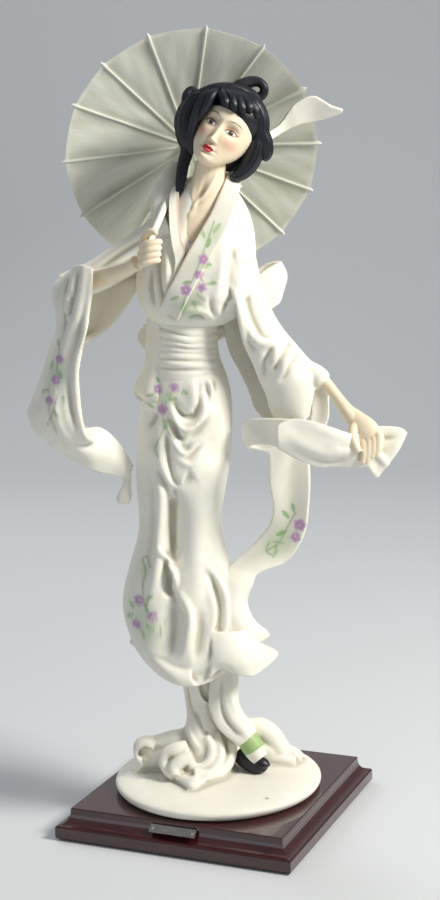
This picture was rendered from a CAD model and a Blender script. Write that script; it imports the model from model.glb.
# %% [markdown]
# # A cast resin lady with a parasol, on a lacquered plinth
#
# The real ornament is bonded marble: ground stone in resin, poured into a rubber mould, taken out as one
# ivory-white casting, and then painted by hand. The parasol is a second casting, glued into the fist. Both
# stand on a square mahogany plinth with a bare plate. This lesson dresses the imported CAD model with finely
# sculpted pieces. Lengths are metres in the scene, but the sculpted shapes are given in millimetres in the
# figure's own frame: X to the viewer's right, -Y towards the viewer, Z up from the mound's underside.

# %% Load the frame
import math

import bmesh
import bpy
import numpy as np
from mathutils import Matrix, Vector


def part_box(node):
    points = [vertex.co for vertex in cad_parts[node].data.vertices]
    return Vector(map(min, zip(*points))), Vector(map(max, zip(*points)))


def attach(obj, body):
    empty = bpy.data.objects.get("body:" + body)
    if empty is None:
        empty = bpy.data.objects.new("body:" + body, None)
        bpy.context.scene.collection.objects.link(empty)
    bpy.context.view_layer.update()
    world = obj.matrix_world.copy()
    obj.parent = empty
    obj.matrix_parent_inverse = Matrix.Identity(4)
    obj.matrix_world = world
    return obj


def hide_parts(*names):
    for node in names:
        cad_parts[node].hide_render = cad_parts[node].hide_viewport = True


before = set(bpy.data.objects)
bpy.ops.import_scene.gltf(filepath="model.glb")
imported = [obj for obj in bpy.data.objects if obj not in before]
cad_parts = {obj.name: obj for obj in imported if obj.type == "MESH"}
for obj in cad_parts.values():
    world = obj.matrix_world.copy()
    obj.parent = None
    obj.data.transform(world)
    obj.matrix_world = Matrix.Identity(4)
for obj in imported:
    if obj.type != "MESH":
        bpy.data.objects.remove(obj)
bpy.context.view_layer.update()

MM = 0.001
print("nodes:", sorted(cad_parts))

# %% [markdown]
# ## Camera
#
# The photograph was taken from about a metre away with a long lens, looking ten degrees down, with the
# plinth turned by 23 degrees. A camera needs a place, a direction and a lens. Writing the turn and the two
# tilts as named values keeps the picture's frame in one place.

# %% Camera
PLINTH_TURN = math.radians(23.26)
CAMERA_PLACE = (0.0072, -1.0467, 0.4328)
CAMERA_PITCH = math.radians(10.0144)
CAMERA_ROLL = math.radians(-1.6798)
CAMERA_LENS = 65.136

camera_data = bpy.data.cameras.new("camera")
camera_data.lens = CAMERA_LENS
camera_data.sensor_width = 36.0
camera = bpy.data.objects.new("camera", camera_data)
bpy.context.scene.collection.objects.link(camera)
bpy.context.scene.camera = camera
turn = Matrix.Rotation(PLINTH_TURN, 4, "Z")
aim = Matrix.Rotation(math.pi / 2 - CAMERA_PITCH, 4, "X") @ Matrix.Rotation(CAMERA_ROLL, 4, "Z")
camera.matrix_world = turn @ Matrix.Translation(CAMERA_PLACE) @ aim
print("camera at", [round(value, 3) for value in camera.matrix_world.translation])

# %% [markdown]
# ## Floor and lights
#
# A product photographer sweeps one sheet of pale paper up behind the object, so that no horizon shows. Here
# a strip of floor is extruded back and then up round a quarter circle. One soft lamp at the right models
# the folds, a weaker, cooler one at the left fills them, one behind draws a rim, and one lights the paper.

# %% Floor and lights
FLOOR_HALF_WIDTH = 3.0
SWEEP_START = 1.2
SWEEP_RADIUS = 0.9
SWEEP_STEPS = 24
SWEEP_TOP = 3.0
FIGURE_MIDDLE = (0.0, 0.0, 0.28)
PAPER_MIDDLE = (0.0, 2.1, 0.7)
LAMPS = [("key_lamp", (1.0, -0.5, 1.05), 23.0, 0.36, "#FFFBF3", FIGURE_MIDDLE),
         ("fill_lamp", (-1.2, -1.0, 0.5), 2.4, 0.9, "#E6EEFF", FIGURE_MIDDLE),
         ("paper_lamp", (0.0, 0.7, 2.0), 5.0, 1.0, "#FFFFFF", PAPER_MIDDLE),
         ("back_lamp", (-0.7, 1.0, 1.1), 5.0, 0.5, "#FFFFFF", FIGURE_MIDDLE)]
WORLD_STRENGTH = 0.29


def linear(hex_colour):
    """An sRGB hex colour as the linear numbers that shaders take."""
    parts = [int(hex_colour[index:index + 2], 16) / 255 for index in (1, 3, 5)]
    curved = [part / 12.92 if part <= 0.04045 else ((part + 0.055) / 1.055) ** 2.4 for part in parts]
    return (*curved, 1.0)


def add_node(tree, kind, links=(), **settings):
    """Adds a node, sets its properties and its inputs (by name, or i and a number), and links the rest."""
    made = tree.nodes.new(kind)
    for name, value in settings.items():
        if hasattr(made, name):
            setattr(made, name, value)
        else:
            numbered = name[0] == "i" and name[1:].isdigit()
            made.inputs[int(name[1:]) if numbered else name.replace("_", " ")].default_value = value
    for socket, source in dict(links).items():
        tree.links.new(source, made.inputs[socket])
    return made


def sweep_paper():
    """The floor strip, extruded back, round the curve and up."""
    bm = bmesh.new()
    left = bm.verts.new((-FLOOR_HALF_WIDTH, -FLOOR_HALF_WIDTH, 0.0))
    right = bm.verts.new((FLOOR_HALF_WIDTH, -FLOOR_HALF_WIDTH, 0.0))
    edge = [bm.edges.new((left, right))]
    path = [(SWEEP_START + SWEEP_RADIUS * math.sin(t), SWEEP_RADIUS * (1 - math.cos(t)))
            for t in np.linspace(0, math.pi / 2, SWEEP_STEPS)]
    last = Vector((0.0, -FLOOR_HALF_WIDTH, 0.0))
    for back, rise in path + [(SWEEP_START + SWEEP_RADIUS, SWEEP_TOP)]:
        grown = bmesh.ops.extrude_edge_only(bm, edges=edge)["geom"]
        verts = [item for item in grown if isinstance(item, bmesh.types.BMVert)]
        edge = [item for item in grown if isinstance(item, bmesh.types.BMEdge)]
        goal = Vector((0.0, back, rise))
        bmesh.ops.translate(bm, vec=goal - last, verts=verts)
        last = goal
    bmesh.ops.recalc_face_normals(bm, faces=bm.faces)
    bmesh.ops.rotate(bm, cent=(0, 0, 0), matrix=Matrix.Rotation(PLINTH_TURN, 3, "Z"), verts=bm.verts)
    mesh = bpy.data.meshes.new("paper_sweep")
    bm.to_mesh(mesh)
    bm.free()
    mesh.shade_smooth()
    paper = bpy.data.objects.new("paper_sweep", mesh)
    bpy.context.scene.collection.objects.link(paper)
    return paper


def soft_lamp(name, place, power, size, colour, goal):
    """A square lamp that faces its goal."""
    data = bpy.data.lights.new(name, "AREA")
    data.energy = power
    data.size = size
    data.color = linear(colour)[:3]
    lamp = bpy.data.objects.new(name, data)
    bpy.context.scene.collection.objects.link(lamp)
    lamp.location = turn @ Vector(place)
    lamp.rotation_euler = (turn @ Vector(goal) - lamp.location).to_track_quat("-Z", "Y").to_euler()


floor = sweep_paper()
paper = bpy.data.materials.new("matt_backdrop_paper")
paper.use_nodes = True
paper_shader = paper.node_tree.nodes["Principled BSDF"]
paper_shader.inputs["Base Color"].default_value = linear("#D3D6D9")
paper_shader.inputs["Roughness"].default_value = 0.9
floor.data.materials.append(paper)

for lamp_row in LAMPS:
    soft_lamp(*lamp_row)
world = bpy.data.worlds.new("studio")
bpy.context.scene.world = world
world.use_nodes = True
world.node_tree.nodes["Background"].inputs["Color"].default_value = linear("#E9EEF2")
world.node_tree.nodes["Background"].inputs["Strength"].default_value = WORLD_STRENGTH
bpy.context.scene.view_settings.view_transform = "Standard"
print("floor", len(floor.data.polygons), "faces;", len(LAMPS), "lamps")

# %% [markdown]
# ## Resin, paint and the other finishes
#
# Bonded marble resin leaves the mould with a fine, dry, bisque-like skin. A thin grey-green and brown wash
# is wiped over it and stays in the hollows, which is what makes the folds read. So the resin colour starts
# from ivory, is mottled at two scales, and is darkened by a recess value that is measured on each mesh.
# On the parasol the mottling is drawn out into brush streaks along the ribs. Hand-painted flowers and the
# face come as a colour attribute, since paint follows the surface.

# %% Finishes of the casting
IVORY_HEX = "#EFEDE2"
WARM_IVORY_HEX = "#E8E2CF"
WASH_HEX = "#8E8669"
SKIN_HEX = "#F0E2C8"
SKIN_WASH_HEX = "#B98B5E"
GRIT_MM = 0.35
MOTTLE_MM = 9.0
WIPE_MM = 28.0
COMB_SCALE = 38.0
WASH_COVER = 0.5


def new_material(name):
    """A material, its node tree, its shader and its object coordinates."""
    made = bpy.data.materials.new(name)
    made.use_nodes = True
    tree = made.node_tree
    return made, tree, tree.nodes["Principled BSDF"], add_node(tree, "ShaderNodeTexCoord").outputs["Object"]


def per_metre(size_mm):
    """Noise scale whose pattern repeats at about a size in millimetres."""
    return 1.0 / (size_mm * MM)


def noise(tree, place, scale, detail, **settings):
    """The grey value of a noise texture."""
    return add_node(tree, "ShaderNodeTexNoise", {"Vector": place}, Scale=scale, Detail=detail,
                    **settings).outputs["Fac"]


def remapped(tree, value, low, high, to_low=0.0, to_high=1.0):
    """A value moved from one range to another, and held inside it."""
    return add_node(tree, "ShaderNodeMapRange", {"Value": value}, i1=low, i2=high, i3=to_low,
                    i4=to_high).outputs["Result"]


def stretched(tree, place, *scale):
    """Coordinates scaled along X, Y and Z, which draws a pattern out along the smallest."""
    return add_node(tree, "ShaderNodeMapping", {"Vector": place}, Scale=scale).outputs["Vector"]


def attribute(tree, name):
    """The outputs of a value that is stored on the mesh."""
    return add_node(tree, "ShaderNodeAttribute", attribute_name=name).outputs


def multiplied(tree, first, second, clamped=True):
    """The product of two sockets, or of a socket and a number."""
    made = add_node(tree, "ShaderNodeMath", {0: first}, operation="MULTIPLY", use_clamp=clamped)
    if isinstance(second, float):
        made.inputs[1].default_value = second
    else:
        tree.links.new(second, made.inputs[1])
    return made.outputs["Value"]


def blended(tree, factor, below, above):
    """Two colours mixed, each a hex text or a socket."""
    made = add_node(tree, "ShaderNodeMix", {"Factor": factor}, data_type="RGBA")
    for index, colour in ((6, below), (7, above)):
        if isinstance(colour, str):
            made.inputs[index].default_value = linear(colour)
        else:
            tree.links.new(colour, made.inputs[index])
    return made.outputs[2]


def dressed(tree, shader, colour, roughness=None, height=None, strength=0.0, distance=0.0):
    """Links a colour and a roughness to the shader, and a bump of some strength and depth in metres."""
    tree.links.new(colour, shader.inputs["Base Color"])
    if roughness:
        tree.links.new(roughness, shader.inputs["Roughness"])
    if height:
        relief = add_node(tree, "ShaderNodeBump", {"Height": height}, Strength=strength, Distance=distance)
        tree.links.new(relief.outputs["Normal"], shader.inputs["Normal"])


def cast_resin(name, base, warm, wash, roughness, wash_strength, brushed=False):
    """Painted cast resin: mottled or brushed base, wash in the recesses, paint from the mesh, fine grit."""
    made, tree, shader, place = new_material(name)
    comb = attribute(tree, "comb")["Vector"] if brushed else place
    brush = attribute(tree, "paint")
    mottle = noise(tree, comb, COMB_SCALE if brushed else per_metre(MOTTLE_MM), 4.0, Roughness=0.6)
    wipe = noise(tree, place, per_metre(WIPE_MM), 2.0)
    grit = noise(tree, place, per_metre(GRIT_MM), 3.0)
    ground = blended(tree, remapped(tree, mottle, 0.35, 0.75, 0.0, 0.55), base, warm)
    uneven = remapped(tree, wipe, 0.3, 0.7, 0.75, 1.15)
    amount = multiplied(tree, attribute(tree, "recess")["Fac"], uneven, clamped=False)
    washed = blended(tree, multiplied(tree, amount, wash_strength), ground, wash)
    thin = remapped(tree, grit, 0.2, 0.8, 0.88, 1.05)
    painted = blended(tree, multiplied(tree, brush["Alpha"], thin), washed, brush["Color"])
    dull = remapped(tree, mottle, 0.3, 0.7, roughness - 0.05, roughness + 0.08)
    dressed(tree, shader, painted, dull, grit, strength=0.12, distance=0.0002)
    shader.inputs["Subsurface Weight"].default_value = 0.08
    shader.inputs["Subsurface Scale"].default_value = 0.003
    shader.inputs["Specular IOR Level"].default_value = 0.4
    return made


ROBE = cast_resin("bisque_bonded_marble", IVORY_HEX, WARM_IVORY_HEX, WASH_HEX, 0.58, WASH_COVER)
SKIN = cast_resin("flesh_painted_resin", SKIN_HEX, "#E8D3AE", SKIN_WASH_HEX, 0.42, 0.8)
PARASOL = cast_resin("grey_washed_bonded_marble", "#DDDFD2", "#C9CCBB", "#7C7A62", 0.66, WASH_COVER,
                     brushed=True)
print("resin materials:", ROBE.name, SKIN.name, PARASOL.name)

# %% [markdown]
# ## Nets of cloth
#
# A sculptor lays clay in sheets and rolls. The same forms are made here from a flat grid, whose vertices
# are placed by a formula: rings round a body, a tube along a path, or a sheet through a few control points.
# Folds are pressed into the net along drawn lines. A fold is a soft ridge or groove, and one side may be
# steeper than the other, as where cloth laps over itself.

# %% Nets and folds
def unit(value):
    """A value held between 0 and 1."""
    return np.clip(value, 0, 1)


def through(points, count):
    """Rows of numbers spread along a smooth curve through the given rows."""
    points = np.asarray(points, float)
    place = np.linspace(0, len(points) - 1, count)
    index = np.clip(place.astype(int), 0, len(points) - 2)
    part = (place - index).reshape(-1, *[1] * (points.ndim - 1))
    ends = (2 * points[:1] - points[1:2], 2 * points[-1:] - points[-2:-1])
    padded = np.concatenate([ends[0], points, ends[1]])
    a, b, c, d = (padded[index + step] for step in range(4))
    return b + 0.5 * part * (c - a + part * (2 * a - 5 * b + 4 * c - d + part * (3 * (b - c) + d - a)))


def rings(sections, rows, around, lift=0.0, sway=0.0):
    """Level rings for (x, y, z, half width, half depth); the last rings rise at the sides and the back."""
    table = through(sections, rows)
    angle = np.linspace(0, 2 * math.pi, around + 1)
    x, y, z, wide, deep = (table[:, k, None] for k in range(5))
    low = np.linspace(0, 1, rows)[:, None] ** 4
    height = z + low * (lift * np.cos(angle) ** 2 + sway * np.sin(angle))
    return np.stack([x + wide * np.cos(angle), y + deep * np.sin(angle), height], axis=2)


def tube(path, rows, around, flat=1.0, groove=0.0, strands=7):
    """Rings square to a path of (x, y, z, radius), flattened or grooved like a lock of hair."""
    table = through(path, rows)
    centre, radius = table[:, :3], table[:, 3]
    along = np.gradient(centre, axis=0)
    along /= np.linalg.norm(along, axis=1, keepdims=True)
    side = np.cross(along, (0.0, 1.0, 0.0))
    side /= np.linalg.norm(side, axis=1, keepdims=True)
    front = np.cross(side, along)
    angle = np.linspace(0, 2 * math.pi, around + 1)[None, :, None]
    drift = np.linspace(0, 1.2, rows)[:, None, None]
    strand = np.abs(np.sin(strands * angle / 2 + drift)) ** 3
    ribbed = 1 - groove * (strand + 0.5 * np.sin(2 * strands * angle + 3 * drift))
    reach = radius[:, None, None] * ribbed
    return centre[:, None] + reach * (side[:, None] * np.cos(angle) + flat * front[:, None] * np.sin(angle))


def sheet(control, rows, cols):
    """A smooth cloth surface through a small net of control points."""
    tall = through(control, rows)
    return through(tall.swapaxes(0, 1), cols).swapaxes(0, 1)


def outward(net):
    """Unit normals of a net, away from the middle of each row."""
    normal = np.cross(np.gradient(net, axis=1), np.gradient(net, axis=0))
    normal /= np.linalg.norm(normal, axis=2, keepdims=True) + 1e-9
    return normal if (normal * (net - net.mean(axis=1, keepdims=True))).sum() > 0 else -normal


def fold(net, width, height, path, side=-1, lean=0.0):
    """Presses one ridge or groove along (x, z) points; lean narrows the side at the path's right hand."""
    line = through(path, 40) if len(path) > 1 else np.asarray(path, float)
    gap = net[:, :, None, ::2] - line[None, None]
    distance = np.linalg.norm(gap, axis=3)
    nearest = distance.argmin(axis=2)
    taper = 1.0
    if len(line) > 1:
        taper = np.sin(math.pi * (0.05 + 0.9 * nearest / (len(line) - 1))) ** 0.8
    if lean:
        way = np.gradient(line, axis=0)[nearest]
        offset = np.take_along_axis(gap, nearest[:, :, None, None], axis=2)[:, :, 0]
        right_hand = way[:, :, 0] * offset[:, :, 1] - way[:, :, 1] * offset[:, :, 0] < 0
        width = width * np.where(right_hand, 1 - lean, 1.0)
    normal = outward(net)
    if side:
        facing = unit(normal[:, :, 1] * side * 2.5)
    else:
        normal = normal * np.where(normal[:, :, 1:2] > 0, -1, 1)
        facing = 1.0
    rise = height * taper * facing * np.exp(-(distance.min(axis=2) / width) ** 2)
    return net + normal * rise[:, :, None]


def folded(net, folds, side=-1):
    """Presses a list of folds, each (width, height, path) or (width, height, path, lean)."""
    for width, height, path, *lean in folds:
        net = fold(net, width, height, path, side, *lean)
    return net


print("a net of 3 rings has shape", rings([(0, 0, 0, 1, 1), (0, 0, 1, 1, 1)], 3, 8).shape)

# %% [markdown]
# ## From nets to castings
#
# Each net becomes a closed shape: a tube gets end faces, and a cloth gets a wall with Solidify. The shapes
# that belong together are fused by a voxel remesh, just as clay is pressed together before the mould is
# made, and a few rounds of smoothing leave the soft fillets that a casting has. The recess value is then
# read from how far each vertex lies below its neighbours.

# %% Casting helpers
SEAT_GAP = 0.0003
MOUND_OFFSET = (0.0014, -0.004)
mound_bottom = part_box("plinth")[1].z + SEAT_GAP
figure_frame = (Matrix.Translation((MOUND_OFFSET[0], MOUND_OFFSET[1], mound_bottom))
                @ Matrix.Rotation(PLINTH_TURN, 4, "Z") @ Matrix.Scale(MM, 4))
CLOTH_WALL = 2.9
PIECE_TRIANGLES = 82000
tally = {}


def net_mesh(net, closed=True, wall=CLOTH_WALL):
    """A mesh from a net: a grid whose vertices are laid on it, then closed or given a wall."""
    rows, cols = net.shape[:2]
    bm = bmesh.new()
    bmesh.ops.create_grid(bm, x_segments=cols - 1, y_segments=rows - 1, size=1)
    for vert in bm.verts:
        vert.co = net[round((vert.co.y + 1) / 2 * (rows - 1)), round((vert.co.x + 1) / 2 * (cols - 1))]
    if closed:
        bmesh.ops.remove_doubles(bm, verts=bm.verts, dist=0.0005)
        bmesh.ops.holes_fill(bm, edges=bm.edges)
    bmesh.ops.recalc_face_normals(bm, faces=bm.faces)
    mesh = bpy.data.meshes.new("form")
    bm.to_mesh(mesh)
    bm.free()
    return mesh if closed else applied(mesh, ("SOLIDIFY", {"thickness": wall, "offset": 0.0}))


def applied(mesh, *steps):
    """The mesh after a row of modifiers, each a type and its settings."""
    holder = bpy.data.objects.new("holder", mesh)
    bpy.context.scene.collection.objects.link(holder)
    for kind, settings in steps:
        modifier = holder.modifiers.new(kind.lower(), kind)
        for name, value in settings.items():
            setattr(modifier, name, value)
    bpy.context.view_layer.update()
    done = bpy.data.meshes.new_from_object(holder.evaluated_get(bpy.context.evaluated_depsgraph_get()))
    bpy.data.objects.remove(holder, do_unlink=True)
    bpy.data.meshes.remove(mesh)
    return done


def roll(path, rows, around, folds=(), **section):
    """A closed roll along a path, with its folds."""
    return net_mesh(folded(tube(path, rows, around, **section), folds))


def cloth(control, rows, cols, folds=(), wall=CLOTH_WALL):
    """A sheet with a wall, and folds that show on both of its faces."""
    return net_mesh(folded(sheet(control, rows, cols), folds, side=0), closed=False, wall=wall)


def joined(meshes):
    """One mesh that holds several."""
    bm = bmesh.new()
    for mesh in meshes:
        bm.from_mesh(mesh)
        bpy.data.meshes.remove(mesh)
    whole = bpy.data.meshes.new("joined")
    bm.to_mesh(whole)
    bm.free()
    return whole


def fused(meshes, voxel, softening=4, limit=PIECE_TRIANGLES):
    """Fuses closed shapes by voxels of some millimetres, softens the skin and thins it to its limit."""
    mesh = applied(joined(meshes), ("REMESH", {"mode": "VOXEL", "voxel_size": voxel}),
                   ("SMOOTH", {"factor": 0.5, "iterations": softening}))
    mark_recesses(mesh, rounds=8)
    triangles = 2 * len(mesh.polygons)
    if triangles > limit:
        mesh = applied(mesh, ("DECIMATE", {"ratio": limit / triangles}))
    mesh.validate()
    return mesh


def neighbour_mean(values, edges, degree):
    """Mean of a value over each vertex's neighbours."""
    columns = values.reshape(len(values), -1).T
    here, there = np.concatenate([edges, edges[:, ::-1]]).T
    total = [np.bincount(here, column[there], len(values)) / degree for column in columns]
    return np.array(total).T.reshape(values.shape)


def spots_of(mesh):
    """Vertex places and normals of a mesh, in its own millimetres."""
    spots = np.empty(len(mesh.vertices) * 3)
    normals = np.empty(len(mesh.vertices) * 3)
    mesh.vertices.foreach_get("co", spots)
    mesh.vertices.foreach_get("normal", normals)
    return spots.reshape(-1, 3), normals.reshape(-1, 3)


def mark_recesses(mesh, rounds=6, gain=5.0, calm=5):
    """Stores how hollow the surface is at each vertex, from 0 on open cloth to 1 deep in a fold."""
    spots, normals = spots_of(mesh)
    ends = np.empty(len(mesh.edges) * 2, int)
    mesh.edges.foreach_get("vertices", ends)
    edges = ends.reshape(-1, 2)
    degree = np.maximum(np.bincount(edges.ravel(), minlength=len(spots)), 1)
    mean = spots
    for _ in range(rounds):
        mean = neighbour_mean(mean, edges, degree)
    hollow = ((mean - spots) * normals).sum(axis=1)
    for _ in range(calm):
        hollow = neighbour_mean(hollow, edges, degree)
    layer = mesh.attributes.new("recess", "FLOAT", "POINT")
    layer.data.foreach_set("value", unit(hollow * gain))


def finish_piece(name, mesh, material=ROBE, nodes=("figure",), paint=None, angle=60):
    if "recess" not in mesh.attributes:
        mark_recesses(mesh)
    coat = np.zeros((len(mesh.vertices), 4))
    if paint:
        paint(*spots_of(mesh), coat)
    layer = mesh.attributes.new("paint", "FLOAT_COLOR", "POINT")
    layer.data.foreach_set("color", coat.ravel())
    mesh.transform(figure_frame)
    mesh.materials.clear()
    mesh.materials.append(material)
    mesh.shade_smooth()
    mesh.set_sharp_from_angle(angle=math.radians(angle))
    mesh.name = name
    piece = bpy.data.objects.new(name, mesh)
    bpy.context.scene.collection.objects.link(piece)
    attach(piece, "root")
    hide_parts(*nodes)
    tally[name] = sum(len(polygon.vertices) - 2 for polygon in mesh.polygons)
    print(name, tally[name], "triangles")


# %% [markdown]
# ## Brushed flowers
#
# The decorator paints loose sprays of violet blossom with green leaves on the collar, the sash, the hem, a
# sleeve and the scarf. Each stroke is a soft-edged shape in the picture plane, laid over the vertices that
# face the viewer. The sprays are a plain design of round blossoms, pointed leaves and curling stems.

# %% Brush strokes
BRUSH_HEX = ("#A65AAE", "#CDA6CF", "#8DB878", "#B9CFA6", "#6E8A55", "#E7DF9C")
VIOLET, LILAC, LEAF, PALE_LEAF, STEM, STAMEN = (linear(text)[:3] for text in BRUSH_HEX)
PETALS = 5
VIEW_FADE = 4.0


def layered(*painters):
    """One painter that runs several in turn."""
    def paint(spots, normals, coat):
        for painter in painters:
            painter(spots, normals, coat)
    return paint


def lay(coat, colour, cover):
    """Lays one colour over the coat, as far as cover says."""
    cover = unit(cover)[:, None]
    old = coat[:, 3:4]
    total = cover + old * (1 - cover)
    mixed = np.asarray(colour) * cover + coat[:, :3] * old * (1 - cover)
    coat[:, :3] = np.where(total > 0, mixed / np.maximum(total, 1e-6), 0)
    coat[:, 3:4] = total


def facing_viewer(normals):
    """1 where the surface faces the viewer, fading to 0 at its side."""
    return unit(-normals[:, 1] * VIEW_FADE)


def blossom(spots, normals, coat, x, z, radius, spin):
    """Five round petals, darker at the heart, with a pale stamen."""
    dx, dz = spots[:, 0] - x, spots[:, 2] - z
    reach = np.hypot(dx, dz)
    rim = radius * (0.74 + 0.26 * np.abs(np.cos(PETALS / 2 * (np.arctan2(dz, dx) - spin))))
    inside = unit((rim - reach) / 1.2 + 0.5) * facing_viewer(normals)
    lay(coat, LILAC, 0.7 * inside)
    lay(coat, VIOLET, 0.75 * inside * unit(1.2 - reach / radius))
    lay(coat, STAMEN, 0.8 * unit((0.2 * radius - reach) / 0.4 + 0.5) * facing_viewer(normals))


def leaf(spots, normals, coat, x, z, length, tilt, colour=LEAF):
    """A pointed leaf that grows from (x, z) towards its tilt, in degrees from the right."""
    angle = math.radians(tilt)
    dx, dz = spots[:, 0] - x, spots[:, 2] - z
    along = (dx * math.cos(angle) + dz * math.sin(angle)) / length
    across = -dx * math.sin(angle) + dz * math.cos(angle)
    half = 0.24 * length * np.sin(math.pi * unit(along)) ** 0.8
    within = (along > 0) & (along < 1)
    inside = unit((half - np.abs(across)) / 0.6 + 0.4) * within * facing_viewer(normals)
    lay(coat, colour, 0.72 * inside)
    lay(coat, STEM, 0.5 * inside * np.exp(-(across / 0.4) ** 2))


def stem(spots, normals, coat, points, width=0.55):
    """A thin curling line through (x, z) points."""
    line = through(points, 60)
    near = np.full(len(spots), 1e9)
    box = (np.abs(spots[:, ::2] - line.mean(axis=0)) < np.ptp(line, axis=0) / 2 + 6).all(axis=1)
    gap = np.linalg.norm(spots[box][:, None, ::2] - line[None], axis=2)
    near[box] = gap.min(axis=1) if box.any() else near[box]
    lay(coat, STEM, 0.7 * np.exp(-(near / width) ** 2) * facing_viewer(normals))


def spray(blossoms, leaves, stems, haze=()):
    """A painter for one spray: hazes of pale green first, then stems, leaves and blossoms."""
    def paint(spots, normals, coat):
        for x, z, radius in haze:
            reach = np.hypot(spots[:, 0] - x, spots[:, 2] - z)
            lay(coat, PALE_LEAF, 0.55 * np.exp(-(reach / radius) ** 2) * facing_viewer(normals))
        for points in stems:
            stem(spots, normals, coat, points)
        for mark in leaves:
            leaf(spots, normals, coat, *mark)
        for index, (x, z, radius) in enumerate(blossoms):
            blossom(spots, normals, coat, x, z, radius, index * 0.7)
    return paint


print("brush colours:", [round(value, 2) for value in VIOLET])

# %% [markdown]
# ## The kimono's skirt
#
# Below the sash the robe is drawn tight round the thighs and opens at the shin. A narrow dark slot runs
# between the front panel and the lap at the left, V-shaped folds hang at the top, and the hem swings out at
# both sides. The skirt is a stack of rings with an inner wall, and the folds are drawn on the front first.

# %% Skirt
SKIRT_ROWS = 230
SKIRT_AROUND = 200
HEM_LIFT = 21.0
HEM_SWAY = 4.0


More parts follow.
